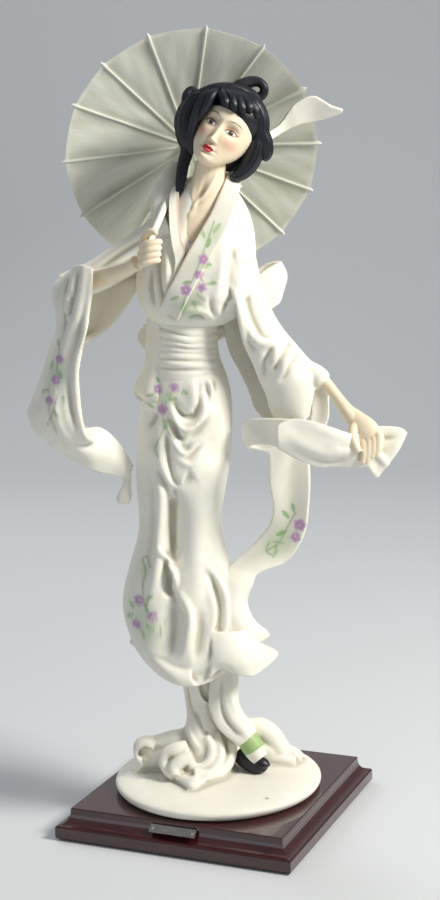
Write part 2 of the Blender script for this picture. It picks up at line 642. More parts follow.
def skirt_forms():
    """Skirt with its folds and its hollow hem, and the flared corners of the hem."""
    sections = [(-12.0, 0, 288, 21.5, 17.0), (-11.5, 0, 281, 23.4, 18.4), (-11.3, 0, 276, 25.0, 20.2),
                (-12.6, 0, 262, 28.8, 22.5), (-14.4, 0, 246, 30.4, 24.0), (-15.9, 0, 225, 30.8, 25.5),
                (-17.7, 0, 211, 29.9, 25.0), (-19.0, 0, 195, 28.0, 24.0), (-20.2, 0, 183, 26.6, 23.0),
                (-20.8, 0, 169, 27.6, 23.0), (-21.4, 0, 149, 32.8, 25.0), (-21.0, 0, 130, 37.8, 28.0),
                (-19.5, 0, 114, 40.0, 30.0), (-17.5, 0, 99, 39.6, 31.0), (-15.5, 1, 86, 38.4, 30.5),
                (-15.5, 1, 82, 38.8, 30.8)]
    inside = [(-15.5, 1, 82, 38.8, 30.8), (-15.5, 1, 82.5, 35.6, 28.0), (-13, 1, 92, 30.0, 26.0),
              (-12, 1, 98, 12.0, 10.0)]
    folds = [(9.0, -2.2, [(16, 229), (6, 231), (-4, 234)]), (7.0, 1.6, [(6, 262), (5, 248), (0, 240)]),
             (4.5, 2.6, [(-8, 277), (-8, 268), (-9, 259)]),
             (1.5, -2.6, [(-4.5, 277), (-3.5, 270), (-4.5, 262), (-7.5, 256.5)]),
             (2.4, -4.6, [(-21, 263), (-18, 257.5), (-13.5, 254), (-8.5, 254.5), (-5.5, 259)], 0.3),
             (2.4, 3.2,
              [(-22.5, 258), (-20.5, 251), (-15, 246), (-9, 247), (-3.5, 253), (-1.5, 260), (-3, 268)]),
             (1.4, 2.4, [(1, 276), (3.5, 271), (2, 265)]),
             (1.1, -2.0, [(-1, 276), (0, 271), (1.5, 266), (0.5, 262)]),
             (1.1, -1.6, [(4.5, 277), (5.5, 272), (4.5, 267)]),
             (2.0, -4.2, [(-25, 254), (-22, 247), (-18.5, 241), (-15, 240.5)], 0.3),
             (2.4, -1.8, [(-12, 241), (-6, 245), (0, 252)]),
             (2.2, 2.2, [(-26, 248), (-23, 240), (-17, 232.5), (-13, 231), (-8, 235), (-2, 241)]),
             (2.2, -1.8, [(-18, 239), (-14.5, 234.5), (-11, 238)]),
             (2.2, -2.0, [(-3, 238), (-7.5, 233), (-11, 230), (-15, 228)]),
             (2.4, 1.3, [(-22, 232), (-17, 226), (-11, 223.5), (-5, 229), (0, 234)]),
             (7.0, -2.0, [(-16, 216), (-13, 215), (-9, 217)]),
             (2.4, -2.4, [(-32, 257), (-35, 251), (-38.5, 246)]),
             (2.0, 1.8, [(-42, 259), (-36, 260.5), (-31.5, 259)]),
             (2.6, 1.9, [(-31, 247), (-31, 235), (-29.5, 222), (-25.5, 211), (-20.5, 207)]),
             (1.7, -2.2, [(-26, 246), (-26, 232), (-24, 218), (-20, 210)], 0.3),
             (2.4, -2.4, [(-34, 222), (-31, 214), (-27, 205)]),
             (1.2, 1.6, [(-26, 207), (-24.7, 203), (-25, 198)]),
             (4.6, -9.0, [(-24, 209), (-25, 196), (-26, 180), (-26, 168), (-27, 159)]),
             (6.0, -2.6, [(-19, 206), (-18, 180), (-19, 150)]),
             (3.6, -7.5, [(-28, 161), (-29, 152), (-28, 144), (-26, 138)]),
             (1.3, 5.0, [(-34, 168), (-30, 162), (-25, 157), (-23, 148), (-25, 141)]),
             (8.5, -5.5, [(-31, 98), (-27, 110), (-25, 124), (-26, 139)], 0.45),
             (2.6, 2.8, [(-24, 142), (-18, 134), (-15, 124), (-17, 111), (-21, 98)]),
             (3.4, 2.2,
              [(-35, 231), (-32, 212), (-32, 192), (-34, 176), (-35, 161), (-38, 144), (-42, 130)]),
             (3.0, -1.6, [(-39, 224), (-38, 200), (-40, 172), (-46, 142)]),
             (6.0, 2.4, [(-48, 104), (-40, 95), (-30, 88), (-19, 84)]),
             (8.0, 3.0, [(-6, 214), (-6, 191), (-9, 165), (-10, 143), (-13, 126)]),
             (3.6, -3.0, [(-8, 129), (-8, 117), (-10, 106), (-12, 97)]),
             (2.6, -3.8, [(1, 108), (4, 120), (5, 131), (2, 143), (-3, 155)], 0.5),
             (2.0, 3.6, [(-5, 158), (2, 149), (8, 134), (8, 120), (6, 110), (0, 98), (-8, 89)]),
             (1.8, 1.6, [(-3, 152), (-2, 140), (0, 130), (0, 119), (-6, 104)]),
             (2.0, 2.6, [(9, 106), (3, 96), (-4, 89), (-10, 83)]),
             (3.6, -1.8, [(-1, 92), (-6, 87), (-11, 84)]), (3.4, 1.6, [(-14, 126), (-16, 108), (-15, 92)])]
    back_folds = [(6.0, -3.6, [(-2, 268), (-8, 200), (-2, 130), (6, 96)], 0.8),
                  (5.0, 4.0, [(-14, 262), (-22, 190), (-24, 110)]),
                  (4.6, -3.6, [(-30, 240), (-34, 170), (-38, 106)], 0.8),
                  (5.0, 3.5, [(8, 240), (4, 170), (20, 104)]),
                  (3.4, -4.0, [(-18, 170), (-14, 130), (-18, 96)]),
                  (3.0, 2.4, [(-28, 250), (-20, 226), (-8, 216)]),
                  (3.0, 2.4, [(0, 252), (-10, 236), (-22, 226)]),
                  (2.6, -2.4, [(10, 170), (12, 140), (24, 112)])]
    net = rings(sections, SKIRT_ROWS, SKIRT_AROUND, lift=HEM_LIFT, sway=HEM_SWAY)
    net = folded(folded(net, folds), back_folds, side=1)
    angle = np.linspace(0, 2 * math.pi, SKIRT_AROUND + 1)
    hollow = rings(inside, 40, SKIRT_AROUND)
    hollow[:, :, 2] += HEM_LIFT * np.cos(angle) ** 2 + HEM_SWAY * np.sin(angle)
    ruffle = [[(-2, -26, 114), (8, -26, 113), (17, -20, 112), (22, -8, 112), (18, 4, 110)],
              [(-1, -29, 104), (9, -30, 103), (20, -26, 103), (28, -14, 102), (24, 2, 100)],
              [(-2, -30, 94), (9, -32, 94), (22, -30, 93), (33, -16, 96), (29, 2, 97)],
              [(-4, -30, 84), (4, -27, 90), (12, -31, 87), (20, -31, 84.5), (27, -27, 84.5),
               (41.5, -14, 92.5), (34, -4, 96)]]
    flap = [[(-46, -2, 112), (-41, -18, 104), (-30, -26, 96), (-16, -29, 92)],
            [(-52, -4, 107), (-44, -21, 99.5), (-30, -31, 89.5), (-15, -32, 84)],
            [(-56, -6, 102), (-47.5, -14, 97), (-39, -23, 90), (-26.5, -31, 81), (-12, -31, 79)]]
    flounces = [cloth([through(row, points) for row in control], 60, 90)
                for control, points in ((ruffle, 7), (flap, 5))]
    return [net_mesh(np.concatenate([net, hollow[1:]]))] + flounces


hem_spray = spray([(-48, 134, 3.8), (-39.5, 124.5, 4.0), (-50, 118.5, 3.6)],
                  [(-50, 129, 6, 150), (-45, 130, 6, 60), (-44, 119, 7, -30, PALE_LEAF), (-52, 125, 6, 215),
                   (-43, 135, 6, 40), (-35, 121, 6, 10, PALE_LEAF), (-46, 114, 6, -80, PALE_LEAF),
                   (-42, 127, 5, 110)],
                  [[(-45, 136), (-45, 145), (-43, 153), (-45, 160), (-41.5, 162), (-40, 156)],
                   [(-38, 119), (-33, 115), (-36, 111)]],
                  [(-46, 124, 8), (-42, 114, 7), (-43, 154, 4)])
waist_spray = spray([(-30.7, 271.3, 3.4), (-20.6, 272.6, 3.6), (-28.3, 259.1, 3.8)],
                    [(-30, 275, 5, 110), (-25, 269, 6, -60), (-17, 270, 6, -10),
                     (-25, 264, 7, 20, PALE_LEAF), (-33, 268, 6, 190, PALE_LEAF), (-27, 253, 7, -80),
                     (-33, 260, 5, 160, PALE_LEAF)],
                    [[(-26, 264), (-28, 254), (-28, 247), (-31, 240), (-34, 234), (-32, 229)],
                     [(-28, 250), (-24, 244), (-21, 240)]],
                    [(-26, 264, 7), (-33, 235, 4)])
finish_piece("kimono_skirt", fused(skirt_forms(), 0.8), paint=layered(hem_spray, waist_spray))

# %% [markdown]
# ## Train and mound
#
# Under the hem the inner robe wraps both shins, runs out over the mound and ends in rolled and pointed
# folds. It was modelled together with the round mound, so both are fused here and share their fillets.

# %% Train and mound
MOUND_RADIUS = 69.2
MOUND_FOOT = 62.5
MOUND_RIM = 5.4
MOUND_CROWN = 12.5
CHIP_PLACE = (30.9, -51.6)
CHIP_RADIUS = 1.4
CHIP_COLOUR = linear("#3A342B")[:3]


def mound_form():
    """Round mound, domed on top and drawn in below its rim."""
    rise = MOUND_CROWN - MOUND_RIM
    dome = [(MOUND_RADIUS * math.sin(t), MOUND_RIM + rise * (1 - (1 - math.cos(t)) ** 1.1))
            for t in np.linspace(0.02, math.pi / 2, 60)]
    under = [(MOUND_RADIUS - (MOUND_RADIUS - MOUND_FOOT) * (1 - math.cos(t)), MOUND_RIM * (1 - math.sin(t)))
             for t in np.linspace(0.1, math.pi / 2, 14)]
    profile = np.array(dome + under + [(MOUND_FOOT * 0.5, 0.0), (1.0, 0.0)])
    angle = np.linspace(0, 2 * math.pi, 361)
    reach, height = profile[:, 0, None], profile[:, 1, None]
    return net_mesh(np.stack([reach * np.cos(angle), reach * np.sin(angle), height + 0 * angle], axis=2))


def train_forms():
    """Wrapped shins, the robe's runs over the mound, the rolled end and the pointed tip."""
    rear_leg = [(-10, 3, 100, 15, 12), (-10, 3, 76, 13, 11), (-9.5, 3, 60, 11.5, 11),
                (-8.5, 2, 50, 11.5, 12), (-8.5, 1, 42, 12.5, 13.5), (-9, 0, 34, 15.0, 15.5),
                (-9, -1, 25, 17.5, 17), (-9, -2, 17, 20, 19), (-9, -2, 9, 22, 21)]
    creases = [(1.3, -2.6, [(-20, 74), (-19, 60), (-14, 48)]),
               (1.2, 2.2, [(-13, 78), (-11, 68), (-5, 58), (-1, 48)]),
               (1.3, -3.0, [(-10, 78), (-8, 66), (-1, 55), (1, 46)]),
               (2.2, -2.2, [(-15, 62), (-12, 48), (-8, 38)]), (1.6, 2.0, [(-21, 46), (-16, 36), (-12, 30)]),
               (1.4, -2.4, [(-7, 42), (-6, 34), (-7, 27)])]
    front_leg = [(5, -4, 98, 11.0), (5.8, -6, 76, 9.6), (5.6, -8, 60, 9.6), (8.7, -9, 50, 9.4),
                 (14.0, -10, 43, 9.0), (18.6, -11.4, 37, 8.4), (20.2, -12.0, 35, 7.8)]
    ridge = [(1.6, 3.0, [(-2, 84), (-3, 68), (-2, 56), (3, 45), (11, 37), (18, 33)], 0.4),
             (1.8, -3.0, [(5, 80), (3, 66), (5, 53), (11, 44), (17, 39)]),
             (1.6, 1.4, [(11, 84), (10, 66), (14, 54)])]
    forms = [net_mesh(folded(rings(rear_leg, 130, 140), creases)), roll(front_leg, 100, 80, ridge)]
    swirls = [[(-7, -12, 38, 3.0), (-4, -15, 31, 3.4), (-5, -19, 24, 3.4), (-11, -22, 20, 3.2),
               (-19, -22, 21, 3.0)],
              [(-1, -10, 38, 2.8), (2, -14, 29, 3.4), (0, -20, 21, 3.4), (-6, -25, 17, 3.2),
               (-16, -27, 17.5, 3.0)],
              [(7, -6, 37, 2.6), (9.5, -9, 28, 3.6), (7, -15, 20, 3.8), (1, -22, 15.5, 3.4),
               (-8, -28, 14.5, 3.0)],
              [(-8, -6, 30, 8), (-2, -8, 22, 10), (-4, -12, 14, 12)]]
    forms += [roll(path, 60, 44) for path in swirls]
    spread = [[(-20, 4, 38), (-30, 3, 36.5), (-39, 2, 35), (-47, 1, 34)],
              [(-20, -5, 34), (-30, -5, 32), (-39, -3, 30), (-48, -2, 28)],
              [(-22, -10, 27), (-31, -8, 25), (-40, -3, 22), (-51, 0, 20)],
              [(-26, -10, 16), (-34, -5, 13), (-42, -1, 12), (-56, 1, 11.5)]]
    forms.append(cloth(spread, 70, 70, [(2.2, -1.4, [(-24, 30), (-36, 28), (-46, 26)])], wall=4.2))
    scroll = [[(-43, 1, 34), (-47.5, -3, 36), (-52, -4, 35), (-55, -3, 31), (-54.5, -2, 25), (-51, -3, 22)],
              [(-42, -6, 31), (-46.5, -8, 34.5), (-51.5, -9, 34), (-55, -8, 30), (-54.5, -7, 23),
               (-50.5, -7, 19.5)],
              [(-42.5, -8, 27), (-46, -9, 30), (-50, -9, 30), (-53, -8, 26), (-53, -7, 20), (-50, -6, 15)]]
    forms.append(cloth([through(row, 6) for row in scroll], 30, 60, wall=2.0))
    lump = [[(-20, -14, 33, 3.5), (-27, -16, 31, 4.5), (-34, -16, 28, 3.8), (-36, -17, 22, 3.2),
             (-33, -20, 17, 3.2), (-29, -23, 15, 3.0)],
            [(-17, -18, 26, 4.5), (-24, -20, 24, 4.8), (-29, -22, 20, 4.4), (-28, -25, 15.5, 3.5)]]
    lump.append([(-45, 1, 32, 3.5), (-49.5, 1, 29, 5.0), (-50.5, 1, 24, 5.0), (-50, 1, 18, 4.5)])
    forms += [roll(path, 44, 36) for path in lump]
    tip = [[(-33, -14, 15), (-20, -16, 19), (-5, -15, 17)],
           [(-30, -22, 13.5), (-18, -25, 17.5), (-5, -24, 15)],
           [(-24, -31, 12.5), (-17, -34, 15), (-9, -32, 13)],
           [(-19, -38, 12), (-17, -40, 12.5), (-14, -38, 12)]]
    forms.append(cloth(tip, 50, 60, [(1.3, -2.0, [(-28, 19), (-20, 17), (-10, 19)])], wall=3.6))
    humps = [[(12, 4, 40, 7), (22, 7, 35, 7.5), (29, 8, 35, 7.5), (35, 9, 30, 8), (40, 10, 22, 8),
              (44, 12, 13, 8)],
             [(20, 8, 22, 9), (32, 9, 20, 9), (42, 11, 14, 8)],
             [(30, 6, 15, 5), (42, 5, 14.5, 4.5), (52, 5, 12, 3.5)],
             [(38, 15, 17, 5), (48, 14, 15, 4.5), (57, 13, 11, 3.5)],
             [(40, 24, 14, 5), (50, 22, 13, 4), (57, 18, 10.5, 3)]]
    forms += [roll(path, 50, 44) for path in humps]
    return forms


def paint_mound(spots, normals, coat):
    """One dark chip on the mound's front."""
    reach = np.hypot(spots[:, 0] - CHIP_PLACE[0], spots[:, 1] - CHIP_PLACE[1])
    lay(coat, CHIP_COLOUR, 0.85 * unit((CHIP_RADIUS - reach) / 0.7) * (spots[:, 2] < 14))


finish_piece("train_and_mound", fused(train_forms() + [mound_form()], 0.95), paint=paint_mound)

# %% [markdown]
# ## Sash and bow
#
# A wide sash of several wrapped layers hides where the blouse and the skirt meet. Its bow is tied behind:
# a knot, two loops and two hanging tails, of which the ends look out at both sides of the waist.

# %% Sash and bow
def sash_forms():
    """The wrapped sash."""
    body = [(-12.6, 0, 273.5, 20.5, 17), (-12.4, 0, 276.5, 22.6, 19.4), (-12.5, 0, 279, 23.1, 20.0),
            (-12.8, 0, 296, 21.2, 19.5), (-12.7, 0, 313, 21.0, 19.2), (-12.5, 0, 317, 20.6, 18.5),
            (-12.5, 0, 318.5, 18.8, 16.5)]
    wraps = [(1.7, -1.3, [(10, 306), (-8, 304.5), (-24, 309), (-36, 312)], 0.6),
             (2.0, 0.8, [(-36, 309), (-20, 304), (10, 303.5)]),
             (1.6, -1.2, [(10, 301), (-10, 300), (-26, 304.5), (-36, 307)], 0.6),
             (1.8, 0.7, [(-36, 303), (-20, 300), (10, 298)]),
             (1.7, -1.4, [(10, 297), (-8, 296.5), (-24, 300), (-36, 301)], 0.6),
             (1.4, -1.0, [(10, 293), (-10, 294), (-36, 297)], 0.6),
             (1.7, -1.2, [(10, 289), (-10, 289.5), (-36, 292)], 0.6),
             (1.9, 0.6, [(-36, 289), (-12, 286.5), (10, 286)]),
             (1.6, -1.0, [(10, 283.5), (-14, 284), (-36, 286.5)], 0.6)]
    net = rings(body, 150, 200)
    return net_mesh(folded(folded(net, wraps), wraps, side=1))


def bow_forms():
    """Knot, loops and tails behind the waist."""
    knot = [(-14, 16, 312, 6), (-13, 22, 305, 8.5), (-12, 23, 296, 9), (-12, 20, 288, 7)]
    right_loop = [[(-6, 24, 308), (-6, 26, 300), (-6, 24, 292)],
                  [(18, 30, 326), (20, 34, 314), (18, 30, 300)],
                  [(38, 33, 344), (42, 37, 328), (44, 33, 316)],
                  [(50, 30, 347), (53.8, 31, 337), (49, 30, 323)],
                  [(40, 25, 342), (44, 23, 330), (46, 25, 318)],
                  [(16, 19, 324), (18, 18, 313), (18, 19, 303)],
                  [(-4, 18, 308), (-4, 18, 300), (-4, 18, 292)]]
    left_loop = [[(-18, 24, 308), (-18, 26, 300), (-18, 24, 292)],
                 [(-32, 32, 312), (-34, 34, 302), (-32, 32, 290)],
                 [(-41, 26, 307), (-43.4, 26, 301), (-41, 26, 295.5)],
                 [(-36, 19, 308), (-38, 18, 300), (-36, 19, 292)],
                 [(-18, 17, 306), (-18, 17, 300), (-18, 17, 294)]]
    left_tail = [[(-18, 25, 296), (-12, 26, 296), (-7, 25, 296)],
                 [(-34, 30, 280), (-24, 32, 274), (-16, 30, 270)],
                 [(-48, 27, 266), (-38, 31, 258), (-28, 28, 252)],
                 [(-45, 28, 259), (-38, 31, 250), (-31, 28, 243)]]
    right_tail = [[(-14, 25, 294), (-9, 27, 294), (-4, 25, 294)],
                  [(-12, 33, 262), (-2, 36, 264), (8, 32, 266)],
                  [(-10, 34, 226), (2, 38, 228), (8, 33, 230)], [(-9, 34, 202), (1, 39, 198), (9, 33, 206)]]
    hip = [[(-36.5, -2, 316), (-33.5, -7, 316), (-28, -12, 316)],
           [(-37.5, -2, 300), (-34, -7.5, 300), (-27.5, -12.4, 300)],
           [(-39, -2, 288), (-34.5, -9, 287), (-27.5, -12.8, 286)],
           [(-43, -2, 278), (-36.5, -11, 276), (-28.5, -13, 275)],
           [(-46.5, -1, 271), (-39.5, -11.5, 268), (-30.5, -15.8, 266)],
           [(-44, -2, 266.5), (-37.5, -12, 263), (-30.5, -16, 261.5)]]
    gathers = [(2.2, -1.6, [(-6, 302), (18, 314), (40, 328)]),
               (2.2, -1.4, [(-6, 296), (20, 306), (40, 318)])]
    forms = [roll(knot, 50, 60), cloth(hip, 70, 50, wall=2.2)]
    for control in (right_loop, left_loop, left_tail, right_tail):
        forms.append(cloth(control, 90, 50, gathers))
    return forms


finish_piece("wrapped_sash", sash_forms())
finish_piece("sash_bow", fused(bow_forms(), 0.75, limit=62000), paint=waist_spray)

# %% [markdown]
# ## Blouse, collars and sleeves
#
# The kimono's upper part is full over the sash and crossed in front. The collars are separate bands that
# meet behind the neck, and their edges stay crisp because they aren't fused with the blouse. Each sleeve
# is a long open bag: a front sheet, a back sheet, and the end where they turn over.

# %% Blouse
def blouse_forms():
    """Blouse with its folds, the raised shoulder at the left and the cloth that runs up by the shaft."""
    body = [(-8, -2, 310, 20, 16), (-7, -2, 314, 27, 21), (-4, -2, 321, 35, 24.5), (-3, -2, 332, 39.5, 26),
            (-4, -2, 345, 38, 26), (-1, -1, 358, 35, 24), (3, 0, 371, 30, 20.5), (4.5, 1, 383, 25, 17),
            (5, 3, 393, 19, 14.5), (5, 5, 401, 14, 11.5)]
    folds = [(1.6, -5.0, [(11, 317), (18, 328), (24, 336), (29, 344)], 0.35),
             (3.0, 2.6, [(32, 344), (26, 332), (18, 320)]),
             (1.8, -4.2, [(11, 321), (17, 331), (19, 343), (20, 358)], 0.35),
             (3.4, 2.8, [(24, 358), (24, 344), (20, 332), (14, 322)]),
             (1.8, -2.8, [(25, 356), (27, 346), (24, 338)]), (5.0, 2.2, [(10, 352), (9, 338), (6, 326)]),
             (1.6, -4.6, [(-26, 364), (-28, 350), (-27, 336), (-24, 326)], 0.3),
             (2.6, 2.6, [(-22, 362), (-22, 346), (-23, 332)]),
             (1.6, -2.8, [(-32, 350), (-33, 336), (-31, 324)]),
             (2.4, 1.8, [(-36, 346), (-37, 334), (-33, 322)]),
             (2.4, -2.6, [(-10, 317), (-5, 318.5), (2, 315)]),
             (2.0, -2.4, [(-24, 320), (-20, 317), (-15, 316)]),
             (1.8, 2.6, [(-14, 316), (-10, 321), (-3, 322), (3, 318)]),
             (6.5, 2.0, [(2, 342), (0, 330), (-4, 324)]),
             (5.5, -7.0, [(4, 398), (2, 385), (-3, 373), (-9, 362)]),
             (2.4, 1.6, [(12, 366), (12, 348), (8, 330)]), (1.6, -2.0, [(4, 330), (5, 322), (8, 315)])]
    back_folds = [(6.0, -3.5, [(2, 390), (-4, 352), (-10, 318)]),
                  (5.0, 2.6, [(16, 380), (10, 346), (0, 318)]),
                  (5.0, -3.0, [(28, 350), (18, 330), (8, 316)]),
                  (5.0, 2.6, [(-16, 376), (-20, 346), (-22, 318)]),
                  (3.0, -2.8, [(-26, 352), (-24, 330), (-18, 316)])]
    net = folded(folded(rings(body, 170, 240), folds), back_folds, side=1)
    shoulder = [(-16, 0, 371, 16), (-31, 3, 363, 13), (-48, 4, 354, 11.5), (-68, 2, 343, 10.5),
                (-86, -1, 337, 9.5)]
    arm_folds = [(2.0, -3.0, [(-32, 369), (-48, 360), (-64, 349)]),
                 (2.2, 2.2, [(-34, 362), (-52, 352), (-70, 342)]),
                 (1.8, -2.6, [(-36, 356), (-52, 345), (-68, 336)])]
    upper_arm = [(15, 2, 384, 13), (18.5, 1, 366, 13), (22.5, -1, 346, 12.5), (28, -3, 326, 11.5),
                 (38, -6, 306, 10.5), (52, -9, 290, 9.0), (66, -13, 277, 7.0), (73, -15, 272, 5.5)]
    lobe = [(-26, -2, 377, 6.0), (-25, 4, 389, 7.0), (-21, 12, 401, 6.5), (-16, 22, 412, 4.0)]
    return [net_mesh(net), roll(shoulder, 110, 96, arm_folds), roll(upper_arm, 110, 80),
            roll(lobe, 50, 48, flat=0.7)]


def right_sleeve_forms():
    """Long sleeve of the bent arm, which swings back to the skirt in a turned-over end."""
    front = [[(-67.2, -31, 350), (-74, -29, 352), (-81, -21, 350), (-86, -8, 344)],
             [(-68.8, -32, 334), (-78, -30.5, 336), (-88, -23, 336), (-94.7, -8, 335)],
             [(-70.8, -33, 322), (-80, -31, 323), (-88.5, -23, 323), (-93.2, -7, 323)],
             [(-72.7, -33, 311), (-80.5, -31, 311.5), (-89, -23.5, 311.5), (-93.6, -7, 311)],
             [(-76.2, -33, 299), (-84, -31, 299.5), (-93, -24, 299.5), (-98.4, -7, 299.5)],
             [(-79.4, -32, 285), (-87.5, -31, 285), (-97, -24, 285), (-103.1, -7, 285)],
             [(-79.4, -31, 269), (-90, -31, 269), (-102.5, -24, 269), (-109.9, -7, 268.7)],
             [(-78.4, -30, 256), (-91, -30, 256), (-105.5, -23, 256.5), (-114.5, -8, 258)],
             [(-76.5, -28, 246), (-89.5, -26.5, 245), (-102.5, -20, 245), (-111.5, -8, 247)],
             [(-72.5, -22, 241), (-84.5, -22, 238), (-95.5, -16, 237.5), (-103.5, -9, 239)],
             [(-74, -12, 241), (-83, -13, 236.5), (-91, -10, 234), (-97.5, -7, 236)]]
    pleats = [(2.0, -6.2,
               [(-81.6, 348), (-84, 340.4), (-84.8, 334), (-85.3, 321.6), (-87.2, 310), (-91, 299)], 0.3),
              (2.0, -5.4, [(-76.6, 348), (-78, 340), (-79, 334.6), (-81.6, 325.7), (-83.1, 318)], 0.3),
              (1.4, 2.8,
               [(-79.1, 348), (-81.6, 341), (-82.6, 333.8), (-83.6, 324), (-85.5, 314.2), (-90.9, 301)]),
              (2.6, 2.2,
               [(-72.5, 348), (-75, 333.7), (-77.5, 323.2), (-81.2, 315.1), (-86, 306), (-90, 294)]),
              (3.0, 2.0, [(-88, 346), (-92, 336), (-90, 324), (-90, 312)]),
              (1.9, 3.0,
               [(-68, 349), (-70.5, 334), (-72.6, 320), (-74.2, 308), (-79, 295), (-81, 284), (-81.4, 269),
                (-80.2, 255), (-77, 243)]),
              (2.2, -1.8, [(-86, 282), (-85, 264), (-82, 250)]),
              (1.8, 1.5, [(-93.5, 284), (-94.4, 262), (-91.7, 249), (-86.2, 241.5)]),
              (2.2, -2.0, [(-98, 280), (-99.5, 262), (-95.5, 247)]),
              (5.0, -1.6, [(-108, 262), (-103, 252), (-95, 243)])]
    back = [[(-86, -8, 344), (-78, 8, 350), (-58, 12, 350), (-38, 10, 346)],
            [(-94.5, -6, 333), (-83, 10, 333), (-62, 14, 333), (-44.5, 9, 330.4)],
            [(-93, -6, 320), (-84, 9, 320), (-68, 13, 319), (-53, 9, 318.4)],
            [(-94, -6, 308), (-86, 8, 307), (-75, 11, 306), (-64, 8, 307)],
            [(-98.5, -6, 298), (-92, 7, 298), (-84, 8, 299), (-76, 5, 300.5)],
            [(-103, -6, 285), (-96, 6, 285), (-90, 7, 286), (-85, 3, 287)],
            [(-110, -6, 269), (-102, 6, 268), (-95, 7, 268), (-88, 3, 268)],
            [(-114, -7, 256), (-104, 4, 254), (-95, 5, 255), (-86, 0, 256)],
            [(-110.5, -8, 246), (-100, 0, 245), (-92, 2, 248), (-83, -4, 250)],
            [(-102, -9, 238), (-94, -3, 238), (-86, -2, 244), (-78, -9, 247.5)]]
    swoop = [[(-86, -14, 252), (-95, -23, 243), (-102, -12, 237.5)],
             [(-79, -12, 247), (-85, -22.5, 238), (-91.5, -13.5, 230.3)],
             [(-71, -9, 247), (-76, -19, 234), (-81.5, -13.5, 223.6)],
             [(-64.5, -7, 243.5), (-67.5, -13, 230), (-72, -11, 218.2)],
             [(-58, -5.5, 236), (-60.5, -10, 225), (-64, -9, 215.6)],
             [(-53, -5, 228), (-55.5, -8.5, 220), (-57.5, -8, 213.6)],
             [(-48.8, -5, 220), (-51, -7.5, 215.5), (-53, -7, 212)]]
    tail = [(-53.0, -7, 215, 3.0), (-53.4, -8, 209, 3.0), (-54.6, -8.5, 203.5, 4.4),
            (-55.8, -8.5, 199, 5.0), (-56, -8.5, 196, 3.4)]
    return [cloth(front, 220, 90, pleats),
            cloth(back, 180, 80), cloth(swoop, 90, 60),
            roll(tail, 44, 40, flat=0.6)]


def left_sleeve_forms():
    """Sleeve of the lowered arm, open towards the body, with its cuff."""
    front = [[(12, -20, 350), (18, -20, 352), (25, -13, 354), (30, -3, 352)],
             [(19, -25, 328), (25, -23, 330), (32, -17, 331), (37, -3, 329)],
             [(22, -25, 312), (29, -25.5, 313), (37, -19, 315), (43.2, -4, 315.5)],
             [(25.5, -24.5, 299), (34, -27, 301), (43, -22, 303), (50.5, -5, 304)],
             [(29.5, -22.5, 288), (38.5, -27.5, 291), (49, -24.5, 294.5), (57.5, -7, 295)],
             [(33.5, -20, 277), (43.5, -27, 280), (54.5, -26, 284.5), (65, -10.5, 286.5)],
             [(38, -18.5, 266), (48, -25, 269), (59.5, -25, 273.5), (71, -15.5, 278)],
             [(40.5, -17, 256), (51, -22, 256.5), (60, -22.5, 260), (68, -17.5, 267.5)],
             [(45, -15, 249), (53, -19, 248.5), (60, -21, 249), (64.5, -18, 251.5)]]
    creases = [(3.8, -6.4, [(27, 333), (28.6, 327), (30.8, 318), (33.6, 309), (37, 303.5)]),
               (1.8, 2.2, [(20.5, 328), (21.8, 320), (23.7, 312), (25.2, 303.6), (26.8, 297), (29, 288)]),
               (1.8, 3.2,
                [(26.5, 311), (29.2, 304.8), (32.7, 301.1), (36.9, 299.5), (41.7, 300.2), (46.6, 302.2)]),
               (1.9, -4.0, [(48, 298.5), (41.6, 295.4), (38.5, 291.9), (36.9, 287.7), (37.4, 280)]),
               (1.8, 2.6, [(50, 301), (46.4, 297.1), (43.9, 292.3), (42, 286.5)]),
               (1.8, -4.0, [(54, 296.5), (48.7, 291), (45.6, 287.4), (42, 283.5)]),
               (1.9, 3.0, [(55.5, 295.2), (52.3, 290.9), (49.2, 286.1), (46, 280)]),
               (1.9, -3.2, [(57.5, 290), (52.8, 284.2), (49.7, 279.4), (46.4, 276.5)]),
               (1.5, -1.8, [(73, 280), (68.5, 276), (67, 271.5)])]
    back = [[(30, -3, 352), (26, 10, 352), (16, 12, 350), (8, 10, 346)],
            [(37, -3, 329), (33, 13, 324), (22, 15, 320), (11, 13, 314)],
            [(45, -5, 311), (40, 14, 304), (28, 16, 300), (15, 14, 292)],
            [(55, -6, 298), (48, 13, 290), (35, 16, 283), (21, 13, 279)],
            [(64, -10, 287), (56, 10, 276), (42, 13, 269), (26.5, 11, 266.5)],
            [(71, -15, 276), (63, 5, 265), (48, 9, 257), (30.8, 8, 253.5)],
            [(67, -14, 264), (61, 2, 256), (50, 5, 249), (37, 4, 246)]]
    cuff = [(64, -11, 281, 6.0), (69, -13, 277.5, 6.9), (73, -14.6, 274, 6.9), (75.2, -15.6, 272, 5.0)]
    return [cloth(front, 170, 96, creases),
            cloth(back, 140, 90), roll(cuff, 30, 60)]


